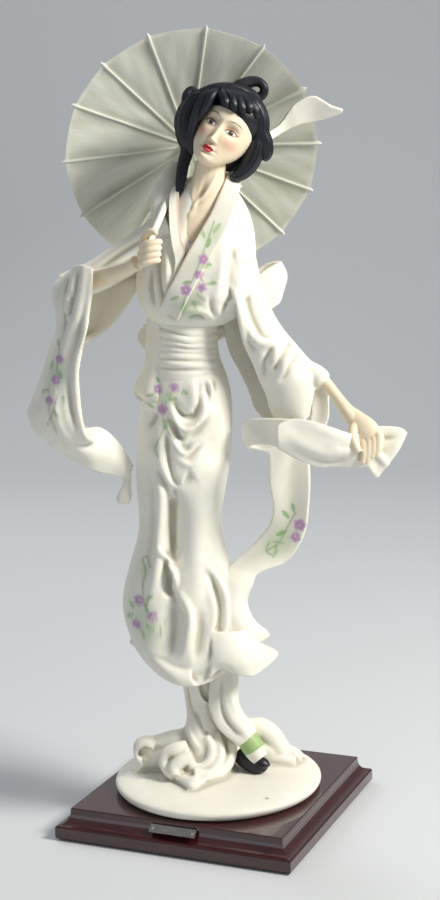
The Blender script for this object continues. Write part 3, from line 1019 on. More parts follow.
sleeve_spray = spray([(-91, 294, 3.2), (-93.9, 281, 3.4), (-99, 268, 3.0)],
                     [(-97, 287, 6, 80, PALE_LEAF), (-91, 301, 6, 100, PALE_LEAF),
                      (-98, 275, 7, 200, PALE_LEAF), (-92, 287, 6, -70), (-96, 262, 7, -60, PALE_LEAF),
                      (-90, 272, 6, -80, PALE_LEAF)],
                     [[(-91, 300), (-93, 288), (-93, 274), (-97, 260), (-101, 252)]], [(-94, 284, 8)])
collar_spray = spray([(0.7, 353.4, 3.6), (-2.8, 344.1, 3.0), (-10.7, 334.8, 3.8), (-1.2, 335.9, 3.2)],
                     [(3, 360, 7, 70), (0, 348, 6, 20), (-7, 340, 6, 190), (-4, 332, 7, -40, PALE_LEAF),
                      (3, 338, 6, 10), (-12, 328, 8, -100, PALE_LEAF), (-7, 328, 7, -70, PALE_LEAF),
                      (7, 369, 8, 50, PALE_LEAF), (-15, 331, 6, 200, PALE_LEAF),
                      (2, 366, 6, 110, PALE_LEAF)],
                     [[(8, 376), (4, 366), (0, 356), (-5, 344), (-11, 332), (-14, 320)],
                      [(-4, 346), (-1, 341), (2, 338)]],
                     [(-1, 352, 6), (-10, 324, 8), (6, 368, 6)])


upper = blouse_forms() + right_sleeve_forms() + left_sleeve_forms()
finish_piece("kimono_blouse_and_sleeves", fused(upper, 0.85, limit=128000),
             paint=layered(sleeve_spray, collar_spray))

# %% Collars
COLLAR_LINE = linear("#A67C56")[:3]
COLLAR_WALL = 3.4
COLLAR_BEVEL = 0.9


def collar(name, control, rows, cols, painter):
    """A thick soft-edged band that lies on the blouse."""
    mesh = applied(cloth(control, rows, cols, wall=COLLAR_WALL),
                   ("BEVEL", {"width": COLLAR_BEVEL, "segments": 3, "limit_method": "ANGLE"}))
    finish_piece(name, mesh, paint=painter)


right_band = [[(18, 13, 405), (25, 11, 400)], [(17.5, 2, 405), (25, 1, 399)],
              [(13.5, -8.5, 396), (23.5, -10, 391)], [(7, -16, 382), (18, -19.5, 377)],
              [(0, -21.5, 371), (11.5, -24.5, 365)], [(-9, -26.5, 357), (2, -29, 350)],
              [(-17, -27.5, 343), (-6, -30, 336)], [(-23, -26, 333), (-12, -29.5, 325)],
              [(-27, -22, 325), (-16, -25, 316)]]
left_band = [[(-8, 13, 402), (-14, 11, 397)], [(-12, 2, 399), (-18, 0, 394)],
             [(-14, -8, 388), (-20, -10, 385)], [(-14, -15, 375), (-20, -17, 373)],
             [(-13, -20, 365), (-19, -22, 363)], [(-10.5, -24, 358), (-17, -25.5, 352)],
             [(-14, -25.5, 346), (-20, -26, 340)]]
nape_band = [[(-8, 12, 402), (-14, 10, 394)], [(-2, 19, 404), (-4, 20, 393)], [(9, 20, 405), (12, 21, 394)],
             [(19, 12, 405), (26, 10, 396)]]


def edge_line(control):
    """A brush line along the inner edge of a band."""
    inner = through([row[0] for row in control], 80)

    def paint(spots, normals, coat):
        gap = np.linalg.norm(spots[:, None] - inner[None], axis=2).min(axis=1)
        lay(coat, COLLAR_LINE, 0.75 * unit((2.3 - gap) / 0.8))
    return paint


collar("right_collar", right_band, 220, 34, layered(edge_line(right_band), collar_spray))
collar("left_collar", left_band, 160, 22, edge_line(left_band))
collar("nape_collar", nape_band, 60, 20, None)

# %% [markdown]
# ## Scarf and hair ribbon
#
# The long scarf is spread under her hand, loops back on itself, hangs behind the skirt and swings in to the
# hem, where its end folds out like a fin. Each run of it is one sheet of control rows, and all are fused.

# %% Scarf and ribbon
def scarf_forms():
    """The front lap, the band that loops and hangs, the fan past the hand and the strip at the sleeve."""
    lap = [[(97, -36, 244), (99, -37, 234), (101, -34, 222)],
           [(90, -41, 243), (92, -43, 233), (94, -40, 221.5)],
           [(77, -43, 248), (80, -45, 236), (82, -41, 222.5)],
           [(64, -42, 252.5), (67, -45, 239), (69, -42, 223)],
           [(52, -40, 253.5), (55, -44, 241), (57, -43, 227.5)],
           [(43.5, -41, 250), (42.8, -44, 242), (43.5, -43, 235.5)]]
    band = [[(68, -36, 250), (70, -38, 238), (71, -36, 226)],
            [(52, -31, 252), (54, -33, 241), (56, -33, 230.5)],
            [(36, -24, 252), (37, -26, 242), (40, -27, 234.8)],
            [(26, -17, 250), (27, -19, 241), (31, -21, 234.5)],
            [(23.5, -11, 246), (23.5, -13, 238), (26, -15, 232)],
            [(30, -3, 246), (30, -7, 237), (32, -10, 229)], [(50, 3, 246), (46, 0, 236), (38, -3, 226)],
            [(64, 4, 236), (54, 4, 228), (39, 0, 219)], [(66, 3, 214), (53, 6, 209), (39, 2, 205)],
            [(65, 3, 190), (53, 7, 190), (41, 3, 190)], [(61, 2, 169), (51, 6, 175), (39, 3, 178)],
            [(49, 1, 152), (41, 4, 160), (30, 2, 167)], [(31, -4, 146), (22, -4, 150), (13, -4, 153)],
            [(26, -8, 139), (17, -12, 141), (7, -10, 144)], [(22, -8, 128), (15, -15, 129), (4, -14, 130)],
            [(26, -8, 116), (18, -17, 117), (6, -18, 117)], [(35, -7, 107), (27, -13, 106), (12, -20, 107)],
            [(36.5, -6, 104), (29, -10, 101), (16, -18, 101)]]
    waves = [(4.0, 1.5, [(92, 238), (76, 231), (62, 236), (50, 244)]),
             (3.4, -1.2, [(90, 230), (76, 226), (64, 230)]), (2.6, 1.0, [(90, 241), (78, 244), (64, 249)]),
             (3.0, -1.6, [(96, 240), (88, 236), (80, 236)]), (2.0, -2.0, [(22, 140), (14, 128), (16, 112)]),
             (2.2, 2.0, [(16, 142), (8, 130), (9, 112)])]
    fan = [[(94, -37, 244), (97, -40, 235), (97, -38, 225)],
           [(108, -35, 246.5), (108, -36, 235), (101, -39, 219)],
           [(121, -34, 245), (116.5, -37, 232), (104.5, -37, 214.5)],
           [(125.5, -34, 241.5), (119.5, -36, 231), (106.5, -36, 215.5)]]
    fan_folds = [(2.0, -2.0, [(98, 242), (108, 239), (118, 239)]),
                 (2.0, 1.8, [(98, 236), (107, 228), (112, 222)])]
    strip = [[(66, -6, 274), (72, -4, 276), (78, -8, 274)], [(67, 0, 262), (73, 1, 262), (79, 0, 260)],
             [(66, 3, 245), (72, 4, 245), (78, 3, 244)], [(60, 4, 226), (64, 5, 226), (68, 4, 228)]]
    return [cloth(lap, 180, 60, waves), cloth(band, 400, 60),
            cloth(fan, 60, 60, fan_folds), cloth(strip, 80, 30)]


scarf_spray = spray([(58.5, 176, 4.4), (55.5, 168, 3.6)],
                    [(52, 180, 8, 130), (50, 172, 8, 200), (48, 164, 8, 170, PALE_LEAF),
                     (44, 160, 7, 230, PALE_LEAF), (55, 184, 7, 100)],
                    [[(56, 184), (50, 174), (44, 164), (37, 160)],
                     [(44, 164), (40, 157), (36, 160), (38, 165)]],
                    [(47, 168, 9), (40, 162, 6)])
finish_piece("long_scarf", fused(scarf_forms(), 0.75, limit=80000), paint=scarf_spray)
ribbon = [[(33, 5, 425), (35, 6, 419)], [(50, 15, 434), (52, 16, 429)], [(61, 15, 447), (63, 17, 434)],
          [(73, 14, 452), (73, 17, 436)], [(84, 13, 446), (83, 15, 438)], [(92, 12, 443), (91, 13, 441)]]
finish_piece("hair_ribbon", fused([cloth(ribbon, 120, 50)], 0.6, limit=12000))

# %% [markdown]
# ## Neck, head and face
#
# The face is a calm one of this lesson's own, on the proportions that drawing books teach: the eyes lie
# halfway down the head, the nose ends halfway between eyes and chin, and the head is five eyes wide. It is
# a stack of rings, and the features are soft bumps and hollows in the head's own upright frame, those that
# come in pairs listed once. The paint is worked out in that same frame before the head is tilted.

# %% Face relief
HEAD_PLACE = Vector((16.0, -3.0, 429.5))
HEAD_TURN = (Matrix.Rotation(math.radians(32), 3, "Y") @ Matrix.Rotation(math.radians(-14), 3, "Z")
             @ Matrix.Rotation(math.radians(-7), 3, "X"))
EYE_X, EYE_Z = 7.2, 0.2
EYE_HALF_WIDTH = 3.7
EYE_SLANT = 0.10


def in_head(net):
    """Moves a net from the head's own upright frame to its tilted place on the neck."""
    return net @ np.array(HEAD_TURN).T + np.array(HEAD_PLACE)


def out_of_head(spots):
    """The reverse of in_head."""
    return (spots - np.array(HEAD_PLACE)) @ np.array(HEAD_TURN)


def bump(x, z, at_x, at_z, wide, tall):
    """A soft round bump of height 1."""
    return np.exp(-((x - at_x) / wide) ** 2 - ((z - at_z) / tall) ** 2)


def lid_heights(x):
    """Height of the upper and the lower lid over each x, for either eye, and how far along the eye x is."""
    out = (np.abs(x) - EYE_X) / EYE_HALF_WIDTH
    middle = EYE_Z + EYE_SLANT * (np.abs(x) - EYE_X)
    arch = unit(1 - out ** 2)
    return middle + 1.75 * arch ** 0.75, middle - 1.15 * arch ** 0.9, out


PAIRED_BUMPS = [(-2.2, 6.6, 1.0, 4.4, 3.2), (0.9, 9.6, -6.0, 4.4, 3.8), (0.6, 7.0, 6.2, 5.5, 2.0),
                (0.8, 2.1, -9.6, 1.1, 1.0), (-0.7, 1.1, -10.8, 0.7, 0.5), (-0.5, 5.0, -14.6, 1.1, 1.1),
                (0.45, 1.15, -13.5, 1.2, 0.7), (-0.5, 15, 6, 3, 5)]
MIDDLE_BUMPS = [(0.8, -9.2, 1.7, 1.4), (-0.3, -12.2, 0.6, 0.9), (1.1, -13.9, 3.9, 1.0),
                (1.5, -16.0, 3.1, 1.1), (-1.0, -18.1, 3.2, 0.9), (1.5, -20.8, 3.6, 2.2)]


def face_relief(x, z):
    """How far each point of the face stands forward of the plain head."""
    rise = np.zeros_like(x)
    upper, lower, out = lid_heights(x)
    for side in (-1, 1):
        for height, at_x, at_z, wide, tall in PAIRED_BUMPS:
            rise += height * bump(x, z, side * at_x, at_z, wide, tall)
    for height, at_z, wide, tall in MIDDLE_BUMPS:
        rise += height * bump(x, z, 0, at_z, wide, tall)
    eyeball = unit(1 - out ** 2) * unit((upper - z) * (z - lower) * 0.5 + 0.25)
    rise += 1.3 * eyeball + 0.45 * np.exp(-((z - upper - 0.35) / 0.45) ** 2) * (np.abs(out) < 1.05)
    rise += -0.35 * np.exp(-((z - upper - 1.5) / 0.45) ** 2) * (np.abs(out) < 1.0)
    along_nose = unit((3.0 - z) / 12.0)
    narrow = 1.5 + 0.7 * along_nose
    bridge = np.exp(-(x / narrow) ** 2) * unit((z + 11.2) / 1.5) * unit((7 - z) / 5)
    rise += (0.6 + 3.0 * along_nose ** 1.5) * bridge
    rise += -1.1 * np.exp(-((z + 14.9 - 0.22 * np.cos(x)) / 0.4) ** 2) * np.exp(-(x / 3.9) ** 4)
    return rise


def head_form():
    """Plain head with the relief laid on its front."""
    profile = [(-24.0, 1.5, -12.5, -9), (-23.2, 5.0, -15.0, -6), (-20.8, 8.2, -16.6, -1),
               (-16.5, 11.5, -17.0, 5), (-11, 14.8, -17.3, 12), (-4, 17.2, -17.7, 18), (3, 18.2, -18.2, 20),
               (10, 17.6, -18.0, 19.5), (17, 15, -15, 17), (22, 9, -9, 11), (24.5, 2, -2, 3)]
    table = through(profile, 200)
    angle = np.linspace(0, 2 * math.pi, 221)
    height, wide, front, rear = (table[:, k, None] for k in range(4))
    middle, deep = (front + rear) / 2, (rear - front) / 2
    net = np.stack([wide * np.cos(angle), middle + deep * np.sin(angle), height + 0 * angle], axis=2)
    facing = unit(-np.sin(angle) * 2.2)[None]
    net[:, :, 1] -= face_relief(net[:, :, 0], net[:, :, 2]) * facing
    return net_mesh(in_head(net))


# %% Face paint
FACE_HEX = ("#CE2D48", "#DC8468", "#3B2A22", "#1B1514", "#F4F0E6", "#2A1A14", "#7E1F2C")
LIP_RED, ROUGE, BROW, LINER, EYE_WHITE, IRIS, LIP_LINE = (linear(text)[:3] for text in FACE_HEX)


def paint_face(spots, normals, coat):
    """Rouge, lips, brows and eyes, in the head's upright frame."""
    local = out_of_head(spots)
    x, z = local[:, 0], local[:, 2]
    front = unit((-local[:, 1] - 4) / 3)
    upper, lower, out = lid_heights(x)
    for side in (-1, 1):
        lay(coat, ROUGE, 0.5 * bump(x, z, side * 10.2, -6.4, 4.2, 3.6) * front)
    lay(coat, ROUGE, 0.22 * np.exp(-((z - upper - 1.2) / 1.4) ** 2) * (np.abs(out) < 1.2) * front)
    top = -12.95 - 0.5 * np.exp(-(x / 0.7) ** 2) - 0.045 * x ** 2 - 0.006 * x ** 4
    bottom = -17.35 + 0.06 * x ** 2 + 0.0085 * x ** 4
    lips = unit((top - z) / 0.3 + 0.5) * unit((z - bottom) / 0.3 + 0.5) * front
    lay(coat, LIP_RED, 0.95 * lips)
    lay(coat, LIP_LINE, 0.8 * lips * np.exp(-((z + 14.9 - 0.22 * np.cos(x)) / 0.3) ** 2))
    brow = 5.4 + 1.5 * np.clip(1 - ((np.abs(x) - 8.0) / 5.0) ** 2, -1, 1)
    brow_width = 0.42 * unit(1 - np.abs((np.abs(x) - 7.6) / 5.2) ** 3)
    on_brow = (np.abs(np.abs(x) - 7.6) < 5.2) * front
    lay(coat, BROW, 0.9 * unit((brow_width - np.abs(z - brow)) / 0.25 + 0.3) * on_brow)
    inside = unit((upper - z) / 0.25 + 0.5) * unit((z - lower) / 0.25 + 0.5) * (np.abs(out) < 1) * front
    lay(coat, EYE_WHITE, 0.95 * inside)
    for side in (-1, 1):
        gap = np.hypot(x - side * EYE_X, z - EYE_Z - 0.35)
        lay(coat, IRIS, inside * unit((1.6 - gap) / 0.25 + 0.5))
        lay(coat, LINER, inside * unit((0.85 - gap) / 0.2 + 0.5))
        glint = np.hypot(x - side * EYE_X - 0.5, z - EYE_Z - 0.9)
        lay(coat, EYE_WHITE, inside * unit((0.28 - glint) / 0.15 + 0.5))
    lash = unit((0.5 - np.abs(z - upper - 0.12)) / 0.2 + 0.3) * (np.abs(out) < 1.02)
    lay(coat, LINER, 0.95 * lash * front)
    wing_line = EYE_Z + 0.6 + 0.35 * (np.abs(x) - EYE_X - EYE_HALF_WIDTH)
    wing = unit((0.34 - np.abs(z - wing_line)) / 0.2 + 0.3)
    lay(coat, LINER, 0.9 * wing * (out > 0.9) * (out < 1.32) * front)
    lay(coat, BROW, 0.55 * np.exp(-((z - lower + 0.1) / 0.22) ** 2) * (np.abs(out) < 0.96) * front)


def neck_form():
    """Long neck and the chest between the collars."""
    path = [(-8, -6, 346, 14, 13.5), (-7, -5, 360, 15.5, 14.0), (-2, -3, 375, 18, 13.5),
            (2.5, -1, 386, 17, 12.5), (4.5, -0.5, 394, 13.5, 11.0), (5.2, -1, 403, 10.6, 9.8),
            (7.5, -2.5, 413, 9.8, 9.4), (12, -3, 426, 9.8, 9.4)]
    cords = [(1.3, 1.4, [(12, 408), (5, 396), (-4, 386), (-8, 378)]),
             (1.8, -1.0, [(4, 402), (0, 392), (-3, 384)]),
             (1.8, 0.5, [(-11, 388), (-7, 380), (-3, 384), (2, 386), (8, 390)]),
             (1.6, -1.6, [(-8, 392), (-9, 386), (-6, 384)]), (1.4, 0.8, [(-3, 404), (-5, 394), (-6, 388)])]
    return net_mesh(folded(rings(path, 140, 130), cords))


finish_piece("neck_and_chest", neck_form(), SKIN)
finish_piece("head", head_form(), SKIN, paint=paint_face)

# %% [markdown]
# ## Hair
#
# The hair is modelled as thick locks: a cap, rolls over the crown, a swept fringe, waves at the side and a
# twisted knot. Each lock is a tube whose section is grooved, so the strands catch the light, and the paint
# is a satin blue-black enamel, a little lighter in patches.

# %% Hair
STRAND_MM = 0.9
ENAMEL_PATCH_MM = 12.0


def blue_black_enamel():
    """Satin enamel, lighter and bluer in patches, with strands from noise stretched down the locks."""
    made, tree, shader, place = new_material("blue_black_enamel")
    combed = stretched(tree, place, 1.0, 1.0, 0.22)
    strands = noise(tree, combed, per_metre(STRAND_MM), 3.0)
    patches = noise(tree, place, per_metre(ENAMEL_PATCH_MM), 2.0)
    colour = blended(tree, remapped(tree, patches, 0.4, 0.75, 0.0, 0.6), "#0D0E14", "#1A2236")
    dressed(tree, shader, colour, remapped(tree, strands, 0.3, 0.7, 0.3, 0.5), strands, 0.35, 0.0004)
    return made


def hair_forms():
    """Cap, crown rolls, fringe locks, side waves, nape and knot."""
    crown = [(0, 5, 26, 3, 3), (0, 4, 24.5, 12, 13), (0, 3.5, 20, 18, 19), (0, 4, 12, 20.4, 21.5),
             (0, 7.5, 2, 20.0, 19.5), (0, 10, -8, 18.5, 16), (0, 11, -16, 14, 12), (0, 11, -20, 4, 4)]
    forms = [net_mesh(in_head(rings(crown, 70, 100)))]
    big_locks = [[(6, -4, 452, 4.5), (0, -2, 450, 6.5), (-5, -2, 444, 6.5), (-7, -2, 436, 6.2),
                  (-6.5, -1, 428, 5.6), (-5.5, 0, 421, 3.5)],
                 [(9, -4, 452, 5), (3, -5, 447, 5.5), (-1.5, -6, 440, 5.0), (-4, -6, 431, 4.4),
                  (-5, -5, 423, 3.2), (-5, -4, 418, 1.4)],
                 [(-7, 6, 446, 6), (-8.5, 8, 438, 7), (-7, 8, 428, 7), (-4, 8, 420, 5)],
                 [(-3, 5, 446, 8), (6, 1, 450, 9.0), (18, 1, 451, 9.0), (30, 3, 450, 8.5), (37, 4, 444, 6)],
                 [(-4, 14, 446, 9), (12, 16, 450, 10), (30, 16, 447, 9)],
                 [(-6.5, 2, 428, 5), (-8, 2, 419, 4.2), (-10.5, 0, 411, 3.8), (-12, -2, 403, 3.4),
                  (-13.5, -3, 396, 2.2), (-14, -3, 390, 1.0)],
                 [(27, -7, 451, 5.5), (34, -7, 446, 6.4), (38, -7, 438, 6.2), (38.5, -6, 430, 5.8),
                  (41, -5, 423, 5.4), (42, -4, 417, 4.2), (40, -3, 413, 2.4)],
                 [(36, 2, 442, 7), (36.5, 2, 430, 7), (34, 1, 420, 6.5), (31, 0, 412, 5)],
                 [(37, -6, 427, 5.0), (35, -6, 418, 5.6), (31.5, -5, 411, 5.8), (27, -4, 406, 5.0),
                  (22.5, -4, 403, 3.6), (19, -4, 402, 1.8)],
                 [(24, -3, 406, 3.0), (22, -2, 402, 2.8), (21, -2, 398, 2.2), (22.5, -2, 395, 1.2)],
                 [(12, 24, 440, 11), (10, 26, 428, 10), (12, 22, 416, 7)],
                 [(20, 6, 455, 4.0), (27, 7, 459, 4.2), (34, 8, 461.5, 3.6), (39, 8, 461, 3.0),
                  (42, 8, 457.5, 2.8), (40.5, 8, 453, 3.0), (35, 8, 451.5, 3.4), (27, 7, 452, 3.6)],
                 [(-11, 2, 440, 2.0), (-10.5, 2, 445, 2.4), (-8, 2, 449, 2.6), (-7, 2, 454, 2.8),
                  (-4, 3, 457, 2.8), (0, 3, 455, 2.6), (4, 3, 454, 2.2)],
                 [(2, -7, 455, 2.6), (10, -8, 457.5, 3.0), (19, -7, 458, 3.0), (28, -5, 455.5, 3.0),
                  (35, -3, 450, 2.6)]]
    forms += [roll(path, 56, 50, groove=0.06) for path in big_locks]
    fringe = [[(15, -7, 456, 3.2), (16, -14, 453, 3.4), (17, -19, 449, 2.8), (18.5, -20.5, 445.5, 0.9)],
              [(17, -7, 456, 3.2), (20, -15, 452, 3.6), (22, -19.5, 447, 2.8), (23.5, -20.5, 442.5, 0.9)],
              [(19, -6, 456, 3.2), (24, -14, 451, 3.7), (27, -18.5, 445, 3.0), (28.5, -19.5, 440.5, 0.9)],
              [(21, -5, 456, 3.2), (28, -12, 450, 3.8), (31.5, -16.5, 445, 3.2), (33, -17.5, 441.5, 1.0)],
              [(23, -4, 455, 3.4), (31, -10, 449, 4.0), (35, -13, 443.5, 3.4), (36.5, -14, 438, 1.2)],
              [(13, -7, 456, 3.2), (9, -13, 453, 3.4), (6, -15, 448, 3.0), (3, -15, 443, 2.4),
               (0, -14, 438, 1.0)],
              [(12, -6, 456, 3.2), (5, -11, 452, 3.8), (0.5, -13, 445, 3.2), (-2.5, -12.5, 437, 2.6),
               (-4.5, -11, 429, 1.0)]]
    forms += [roll(path, 40, 36, groove=0.06, strands=5) for path in fringe]
    return forms


finish_piece("hair", joined(hair_forms()), blue_black_enamel())

# %% [markdown]
# ## Arms, hands and foot
#
# Hands are a palm and rolled fingers that are fused at a finer voxel than cloth, so the gaps between the
# fingers stay. The foot wears a split sock with a green strap, and a dark sole that points down.

# %% Hands
def egg(centre, size, tilt=0.0):
    """An egg shape with half sizes along X, Y and Z, tilted in the picture plane."""
    bm = bmesh.new()
    bmesh.ops.create_uvsphere(bm, u_segments=48, v_segments=32, radius=1.0)
    place = Matrix.Translation(centre) @ Matrix.Rotation(tilt, 4, "Y") @ Matrix.Diagonal((*size, 1.0))
    bmesh.ops.transform(bm, matrix=place, verts=bm.verts)
    mesh = bpy.data.meshes.new("egg")
    bm.to_mesh(mesh)
    bm.free()
    return mesh


def right_hand_forms():
    """Forearm and the fist that closes round the shaft."""
    forearm = [(-88, -4, 338, 8.0), (-76, -12, 340, 7.2), (-62, -22, 344, 6.0), (-48, -33, 349, 4.8),
               (-40, -39, 353, 4.6)]
    forms = [roll(forearm, 90, 60), egg((-35.2, -41.5, 358), (4.2, 4.8, 7.0), math.radians(14)),
             egg((-33.2, -43.5, 362.5), (3.9, 4.4, 5.0), math.radians(14))]
    for step in range(4):
        rise, tuck = 353.0 + 3.75 * step, 0.5 * abs(step - 2)
        finger = [(-37.6 + step * 0.8, -42, rise - 0.8, 2.1), (-37.0 + step * 0.8, -47, rise - 0.2, 2.2),
                  (-33.5 + step * 0.6, -49.8 + tuck, rise + 0.8, 2.15),
                  (-29.2 + step * 0.5, -49.4 + tuck, rise + 1.6, 2.0),
                  (-26.8 + step * 0.5, -46.8, rise + 1.6, 1.8), (-27.2 + step * 0.5, -44, rise + 1.0, 1.5)]
        forms.append(roll(finger, 50, 32))
    thumb = [(-36, -40, 362, 2.8), (-34.5, -41, 368, 2.7), (-31.5, -43, 371.5, 2.3),
             (-28.5, -45, 371.5, 1.9), (-27, -46, 370, 1.4)]
    return forms + [roll(thumb, 44, 32)]


def left_hand_forms():
    """Wrist and the hand laid over the scarf, fingers bent down."""
    forearm = [(64, -11, 281, 5.0), (75.3, -15, 272.5, 4.0), (80.8, -19.5, 266, 3.6),
               (85.2, -25, 259.8, 4.1), (90, -30, 253.2, 4.8), (94, -33, 248.5, 4.4)]
    palm = [(88, -27.5, 256, 4.4), (93.5, -33, 250.5, 6.2), (99, -37, 245, 7.6), (102.5, -39, 240.5, 7.0),
            (104, -40, 238, 4.0)]
    forms = [roll(forearm, 90, 60), roll(palm, 60, 50, flat=0.6)]
    for step in range(4):
        finger = [(103.5 - step * 2.4, -37.5, 246 - step * 1.6, 2.8),
                  (107.0 - step * 3.0, -41, 241 - step * 1.8, 3.0),
                  (106.4 - step * 3.0, -44, 235.2 - step * 1.6, 2.7),
                  (104.4 - step * 2.9, -45, 230.0 - step * 1.6, 1.9)]
        forms.append(roll(finger, 50, 32))
    thumb = [(94, -34, 248.5, 3.4), (91.2, -37.4, 245, 3.3), (90.6, -41, 240.4, 3.1),
             (92.2, -44, 235.6, 2.7), (94, -45.4, 232, 2.0)]
    return forms + [roll(thumb, 44, 32)]


finish_piece("right_forearm_and_fist", fused(right_hand_forms(), 0.42, limit=34000), SKIN)
finish_piece("left_forearm_and_hand", fused(left_hand_forms(), 0.42, limit=34000), SKIN)

# %% Foot
STRAP = cast_resin("green_painted_strap", "#A5BF7E", "#93B06A", "#5E7A44", 0.5, 0.8)
SOLE = cast_resin("black_painted_sole", "#1E1A24", "#2A2430", "#0D0B10", 0.38, 0.5)
sock_path = [(18.6, -11, 36, 6.8), (22, -12, 31, 6.9), (25.6, -14, 26, 6.6), (28.4, -15.5, 22.3, 5.6)]
strap_path = [(19.4, -11.5, 35.5, 7.0), (22, -12.2, 32, 7.4), (24.2, -13.2, 28.8, 7.4),
              (25, -13.6, 27.6, 6.7)]
sole_path = [(13, -5, 22, 4.5), (19, -8, 19, 6.0), (25, -12, 17.5, 6.4), (29.5, -15, 17.5, 5.4),
             (31.5, -16.5, 17, 4.0), (32, -17, 16.5, 2.0)]
finish_piece("split_sock", roll(sock_path, 60, 60))
finish_piece("foot_strap", roll(strap_path, 50, 60), STRAP)
finish_piece("sandal_sole", roll(sole_path, 70, 60), SOLE)

# %% [markdown]
# ## Parasol
#
# The canopy copies a cone of paper on fourteen ribs, and is cast in one with its shaft and finial. It faces
# the viewer with its hollow side, on which the ribs stand as thin lines that end in small points. The net
# has columns crowded at each rib, and its rings run out to the rim on one side and back on the other.

# %% Parasol
PARASOL_RADIUS = 82.8
PARASOL_DEPTH = 15.5
CANOPY_WALL = 2.2
RIB_DEGREES = (2, 24.4, 48.6, 75.6, 102.6, 129.7, 156.7, 183.7, 210.3, 232.6, 255.9, 281.4, 308.2, 335.4)
RIB_HEIGHT = 1.0
RIB_WIDTH = 0.9
RIB_TIP = 2.8
RIM_DIP = 0.6
HUB_WASH = linear("#A3A48C")[:3]
HUB_WASH_RADIUS = 24.0
SHAFT_RADIUS = 2.3
SHAFT_OVERLAP = 1.0
HUB = Vector((-6.2, 56.0, 423.2))
FIST = Vector((-33.5, -46.0, 362.0))
CANOPY_AXIS = Vector((-0.09, 0.934, 0.347)).normalized()
canopy_frame = (Matrix.Translation(HUB - CANOPY_AXIS * PARASOL_DEPTH)
                @ Vector((0, 0, 1)).rotation_difference(CANOPY_AXIS).to_matrix().to_4x4())


def canopy_form():
    """Ribbed cone with both its faces, as one closed net."""
    ribs = np.radians(RIB_DEGREES)
    bays = np.diff(np.append(ribs, ribs[0] + 2 * math.pi))
    shares = np.concatenate([np.linspace(0, 0.045, 5), np.linspace(0.07, 0.5, 7)])
    shares = np.concatenate([shares, 1 - shares[1:-1][::-1]])
    angles = np.append((ribs[:, None] + shares * bays[:, None]).ravel(), ribs[0] + 2 * math.pi)
    share = np.append(np.tile(shares, len(ribs)), 0.0)
    off_rib = np.minimum(share, 1 - share) * np.append(np.repeat(bays, len(shares)), bays[0])
    reach = np.concatenate([np.linspace(0.02, 0.94, 44), np.linspace(0.95, 1.0, 8)])[:, None]
    arc = off_rib * reach * PARASOL_RADIUS
    rib = np.exp(-(arc / RIB_WIDTH) ** 2)
    between = np.sin(math.pi * share) ** 2
    wavy = 0.12 * np.sin(angles * 23 + reach * 9) + 0.1 * np.sin(angles * 41 - reach * 17)
    span = reach * (PARASOL_RADIUS - RIM_DIP * between * reach ** 2)
    at_rim = unit((reach - 0.985) / 0.015)
    span = span + RIB_TIP * np.exp(-(off_rib * PARASOL_RADIUS / 1.1) ** 2) * at_rim
    slope = PARASOL_DEPTH * (1 - reach ** 1.15) - 1.2 * between * reach * (1 - reach) + wavy * reach
    wall = CANOPY_WALL * np.clip((1.004 - reach) / 0.02, 0.25, 1)
    inner = slope - RIB_HEIGHT * rib * unit(reach * 6)
    outer = slope + wall + 0.3 * RIB_HEIGHT * rib
    height = np.concatenate([outer, inner[::-1]])
    span = np.concatenate([span, span[::-1]])
    net = np.stack([span * np.cos(angles), span * np.sin(angles), height], axis=2)
    mesh = net_mesh(net)
    spots, _ = spots_of(mesh)
    far = np.hypot(spots[:, 0], spots[:, 1])
    comb = np.stack([spots[:, 0] / far, spots[:, 1] / far, 0.12 * far / PARASOL_RADIUS], axis=1)
    mesh.attributes.new("comb", "FLOAT_VECTOR", "POINT").data.foreach_set("vector", comb.ravel())
    return mesh


def turned_form(profile, steps):
    """A profile of (radius, height) spun round the axis."""
    bm = bmesh.new()
    verts = [bm.verts.new((radius, 0.0, height)) for radius, height in profile]
    edges = [bm.edges.new(pair) for pair in zip(verts, verts[1:])]
    bmesh.ops.spin(bm, geom=verts + edges, cent=(0, 0, 0), axis=(0, 0, 1), angle=2 * math.pi, steps=steps,
                   use_merge=True)
    bmesh.ops.remove_doubles(bm, verts=bm.verts, dist=0.0005)
    bmesh.ops.recalc_face_normals(bm, faces=bm.faces)
    mesh = bpy.data.meshes.new("turned")
    bm.to_mesh(mesh)
    bm.free()
    return mesh


def paint_canopy(spots, normals, coat):
    """The wash gathers round the hub, where the ribs meet."""
    reach = np.linalg.norm(spots - np.array(HUB), axis=1)
    lay(coat, HUB_WASH, 0.35 * np.exp(-(reach / HUB_WASH_RADIUS) ** 2))


canopy = canopy_form()
canopy.transform(canopy_frame)
finish_piece("parasol_canopy", canopy, PARASOL, nodes=("parasol",), paint=paint_canopy,
             angle=75)
along = (HUB - FIST).normalized()
shaft_ends = (FIST - along * SHAFT_OVERLAP, (FIST + HUB) / 2, HUB + along * SHAFT_OVERLAP)
shaft = roll([(*point, SHAFT_RADIUS) for point in shaft_ends], 60, 40)
finish_piece("parasol_shaft", shaft, ROBE, nodes=("parasol",))
finial_profile = [(0, 11), (1.9, 10.2), (2.6, 7.7), (2.1, 5.5), (4.2, 3.3), (5.5, 0.6), (5.5, -4.4),
                  (3.8, -6.8), (0, -7)]
finial = turned_form([(max(radius, 0.0), height) for radius, height in through(finial_profile, 60)], 64)
finial.transform(Matrix.Translation(HUB) @ canopy_frame.to_3x3().to_4x4())
finish_piece("parasol_finial", finial, ROBE, nodes=("parasol",))

# %% [markdown]
# ## Plinth and metal
#
# The plinth is solid wood under many coats of dark mahogany lacquer, so its colour is deep and its gloss is
# sharp, with only a trace of grain. The CAD solids of the plinth, plate, pins, screw, washer and felt have
# their true form, so they stay and only get their finishes.

# %% Plinth and metal finishes
GRAIN_MM = 1.6
DUST_MM = 14.0
FIBRE_MM = 0.35


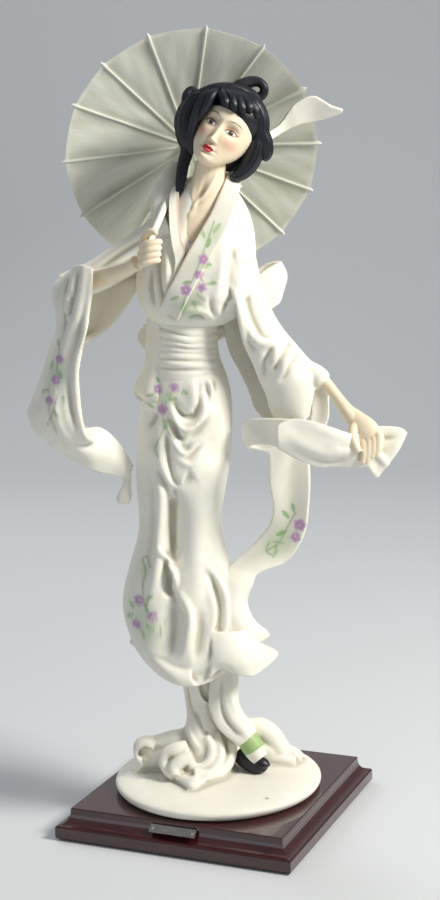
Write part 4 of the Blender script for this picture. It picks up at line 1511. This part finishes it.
def lacquered_mahogany():
    """Dark wood grain under a clear gloss."""
    made, tree, shader, place = new_material("lacquered_mahogany")
    drawn = stretched(tree, place, 0.08, 1.0, 1.0)
    grain = noise(tree, drawn, per_metre(GRAIN_MM), 5.0, Distortion=0.6)
    dust = noise(tree, place, per_metre(DUST_MM), 3.0)
    colour = blended(tree, remapped(tree, grain, 0.35, 0.7), "#2C1013", "#4A1C1B")
    dressed(tree, shader, colour, remapped(tree, dust, 0.3, 0.8, 0.12, 0.26))
    shader.inputs["Coat Weight"].default_value = 0.7
    shader.inputs["Coat Roughness"].default_value = 0.06
    return made


def brushed_metal(name, colour, roughness, streak_mm):
    """Metal with fine streaks along the plate."""
    made, tree, shader, place = new_material(name)
    drawn = stretched(tree, place, 0.04, 1.0, 1.0)
    streaks = noise(tree, drawn, per_metre(streak_mm), 4.0)
    dull = remapped(tree, streaks, 0.3, 0.7, roughness - 0.05, roughness + 0.1)
    dressed(tree, shader, blended(tree, streaks, colour, "#F2EFE6"), dull, streaks, 0.1, 0.0001)
    shader.inputs["Metallic"].default_value = 1.0
    return made


def pressed_felt():
    """Green wool felt, with fibres at a third of a millimetre."""
    made, tree, shader, place = new_material("pressed_wool_felt")
    fibres = noise(tree, place, per_metre(FIBRE_MM), 5.0)
    dressed(tree, shader, blended(tree, fibres, "#1D3A2B", "#35604A"), None, fibres, 0.5, 0.0003)
    shader.inputs["Roughness"].default_value = 0.95
    shader.inputs["Sheen Weight"].default_value = 0.3
    return made


WOOD = lacquered_mahogany()
PLATE = brushed_metal("polished_nickel_plate", "#6F6B61", 0.2, 0.3)
STEEL = brushed_metal("zinc_plated_steel", "#AEB0AE", 0.35, 0.2)
FELT = pressed_felt()
finishes = {"plinth": WOOD, "nameplate": PLATE, "nameplate_pin_left": PLATE, "nameplate_pin_right": PLATE,
            "fixing_screw": STEEL, "fixing_washer": STEEL, "felt_sheet": FELT}
for node_name, finish in finishes.items():
    for slot_index in range(len(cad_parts[node_name].material_slots)):
        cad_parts[node_name].material_slots[slot_index].material = finish
print("total", sum(tally.values()), "triangles in", len(tally), "pieces")
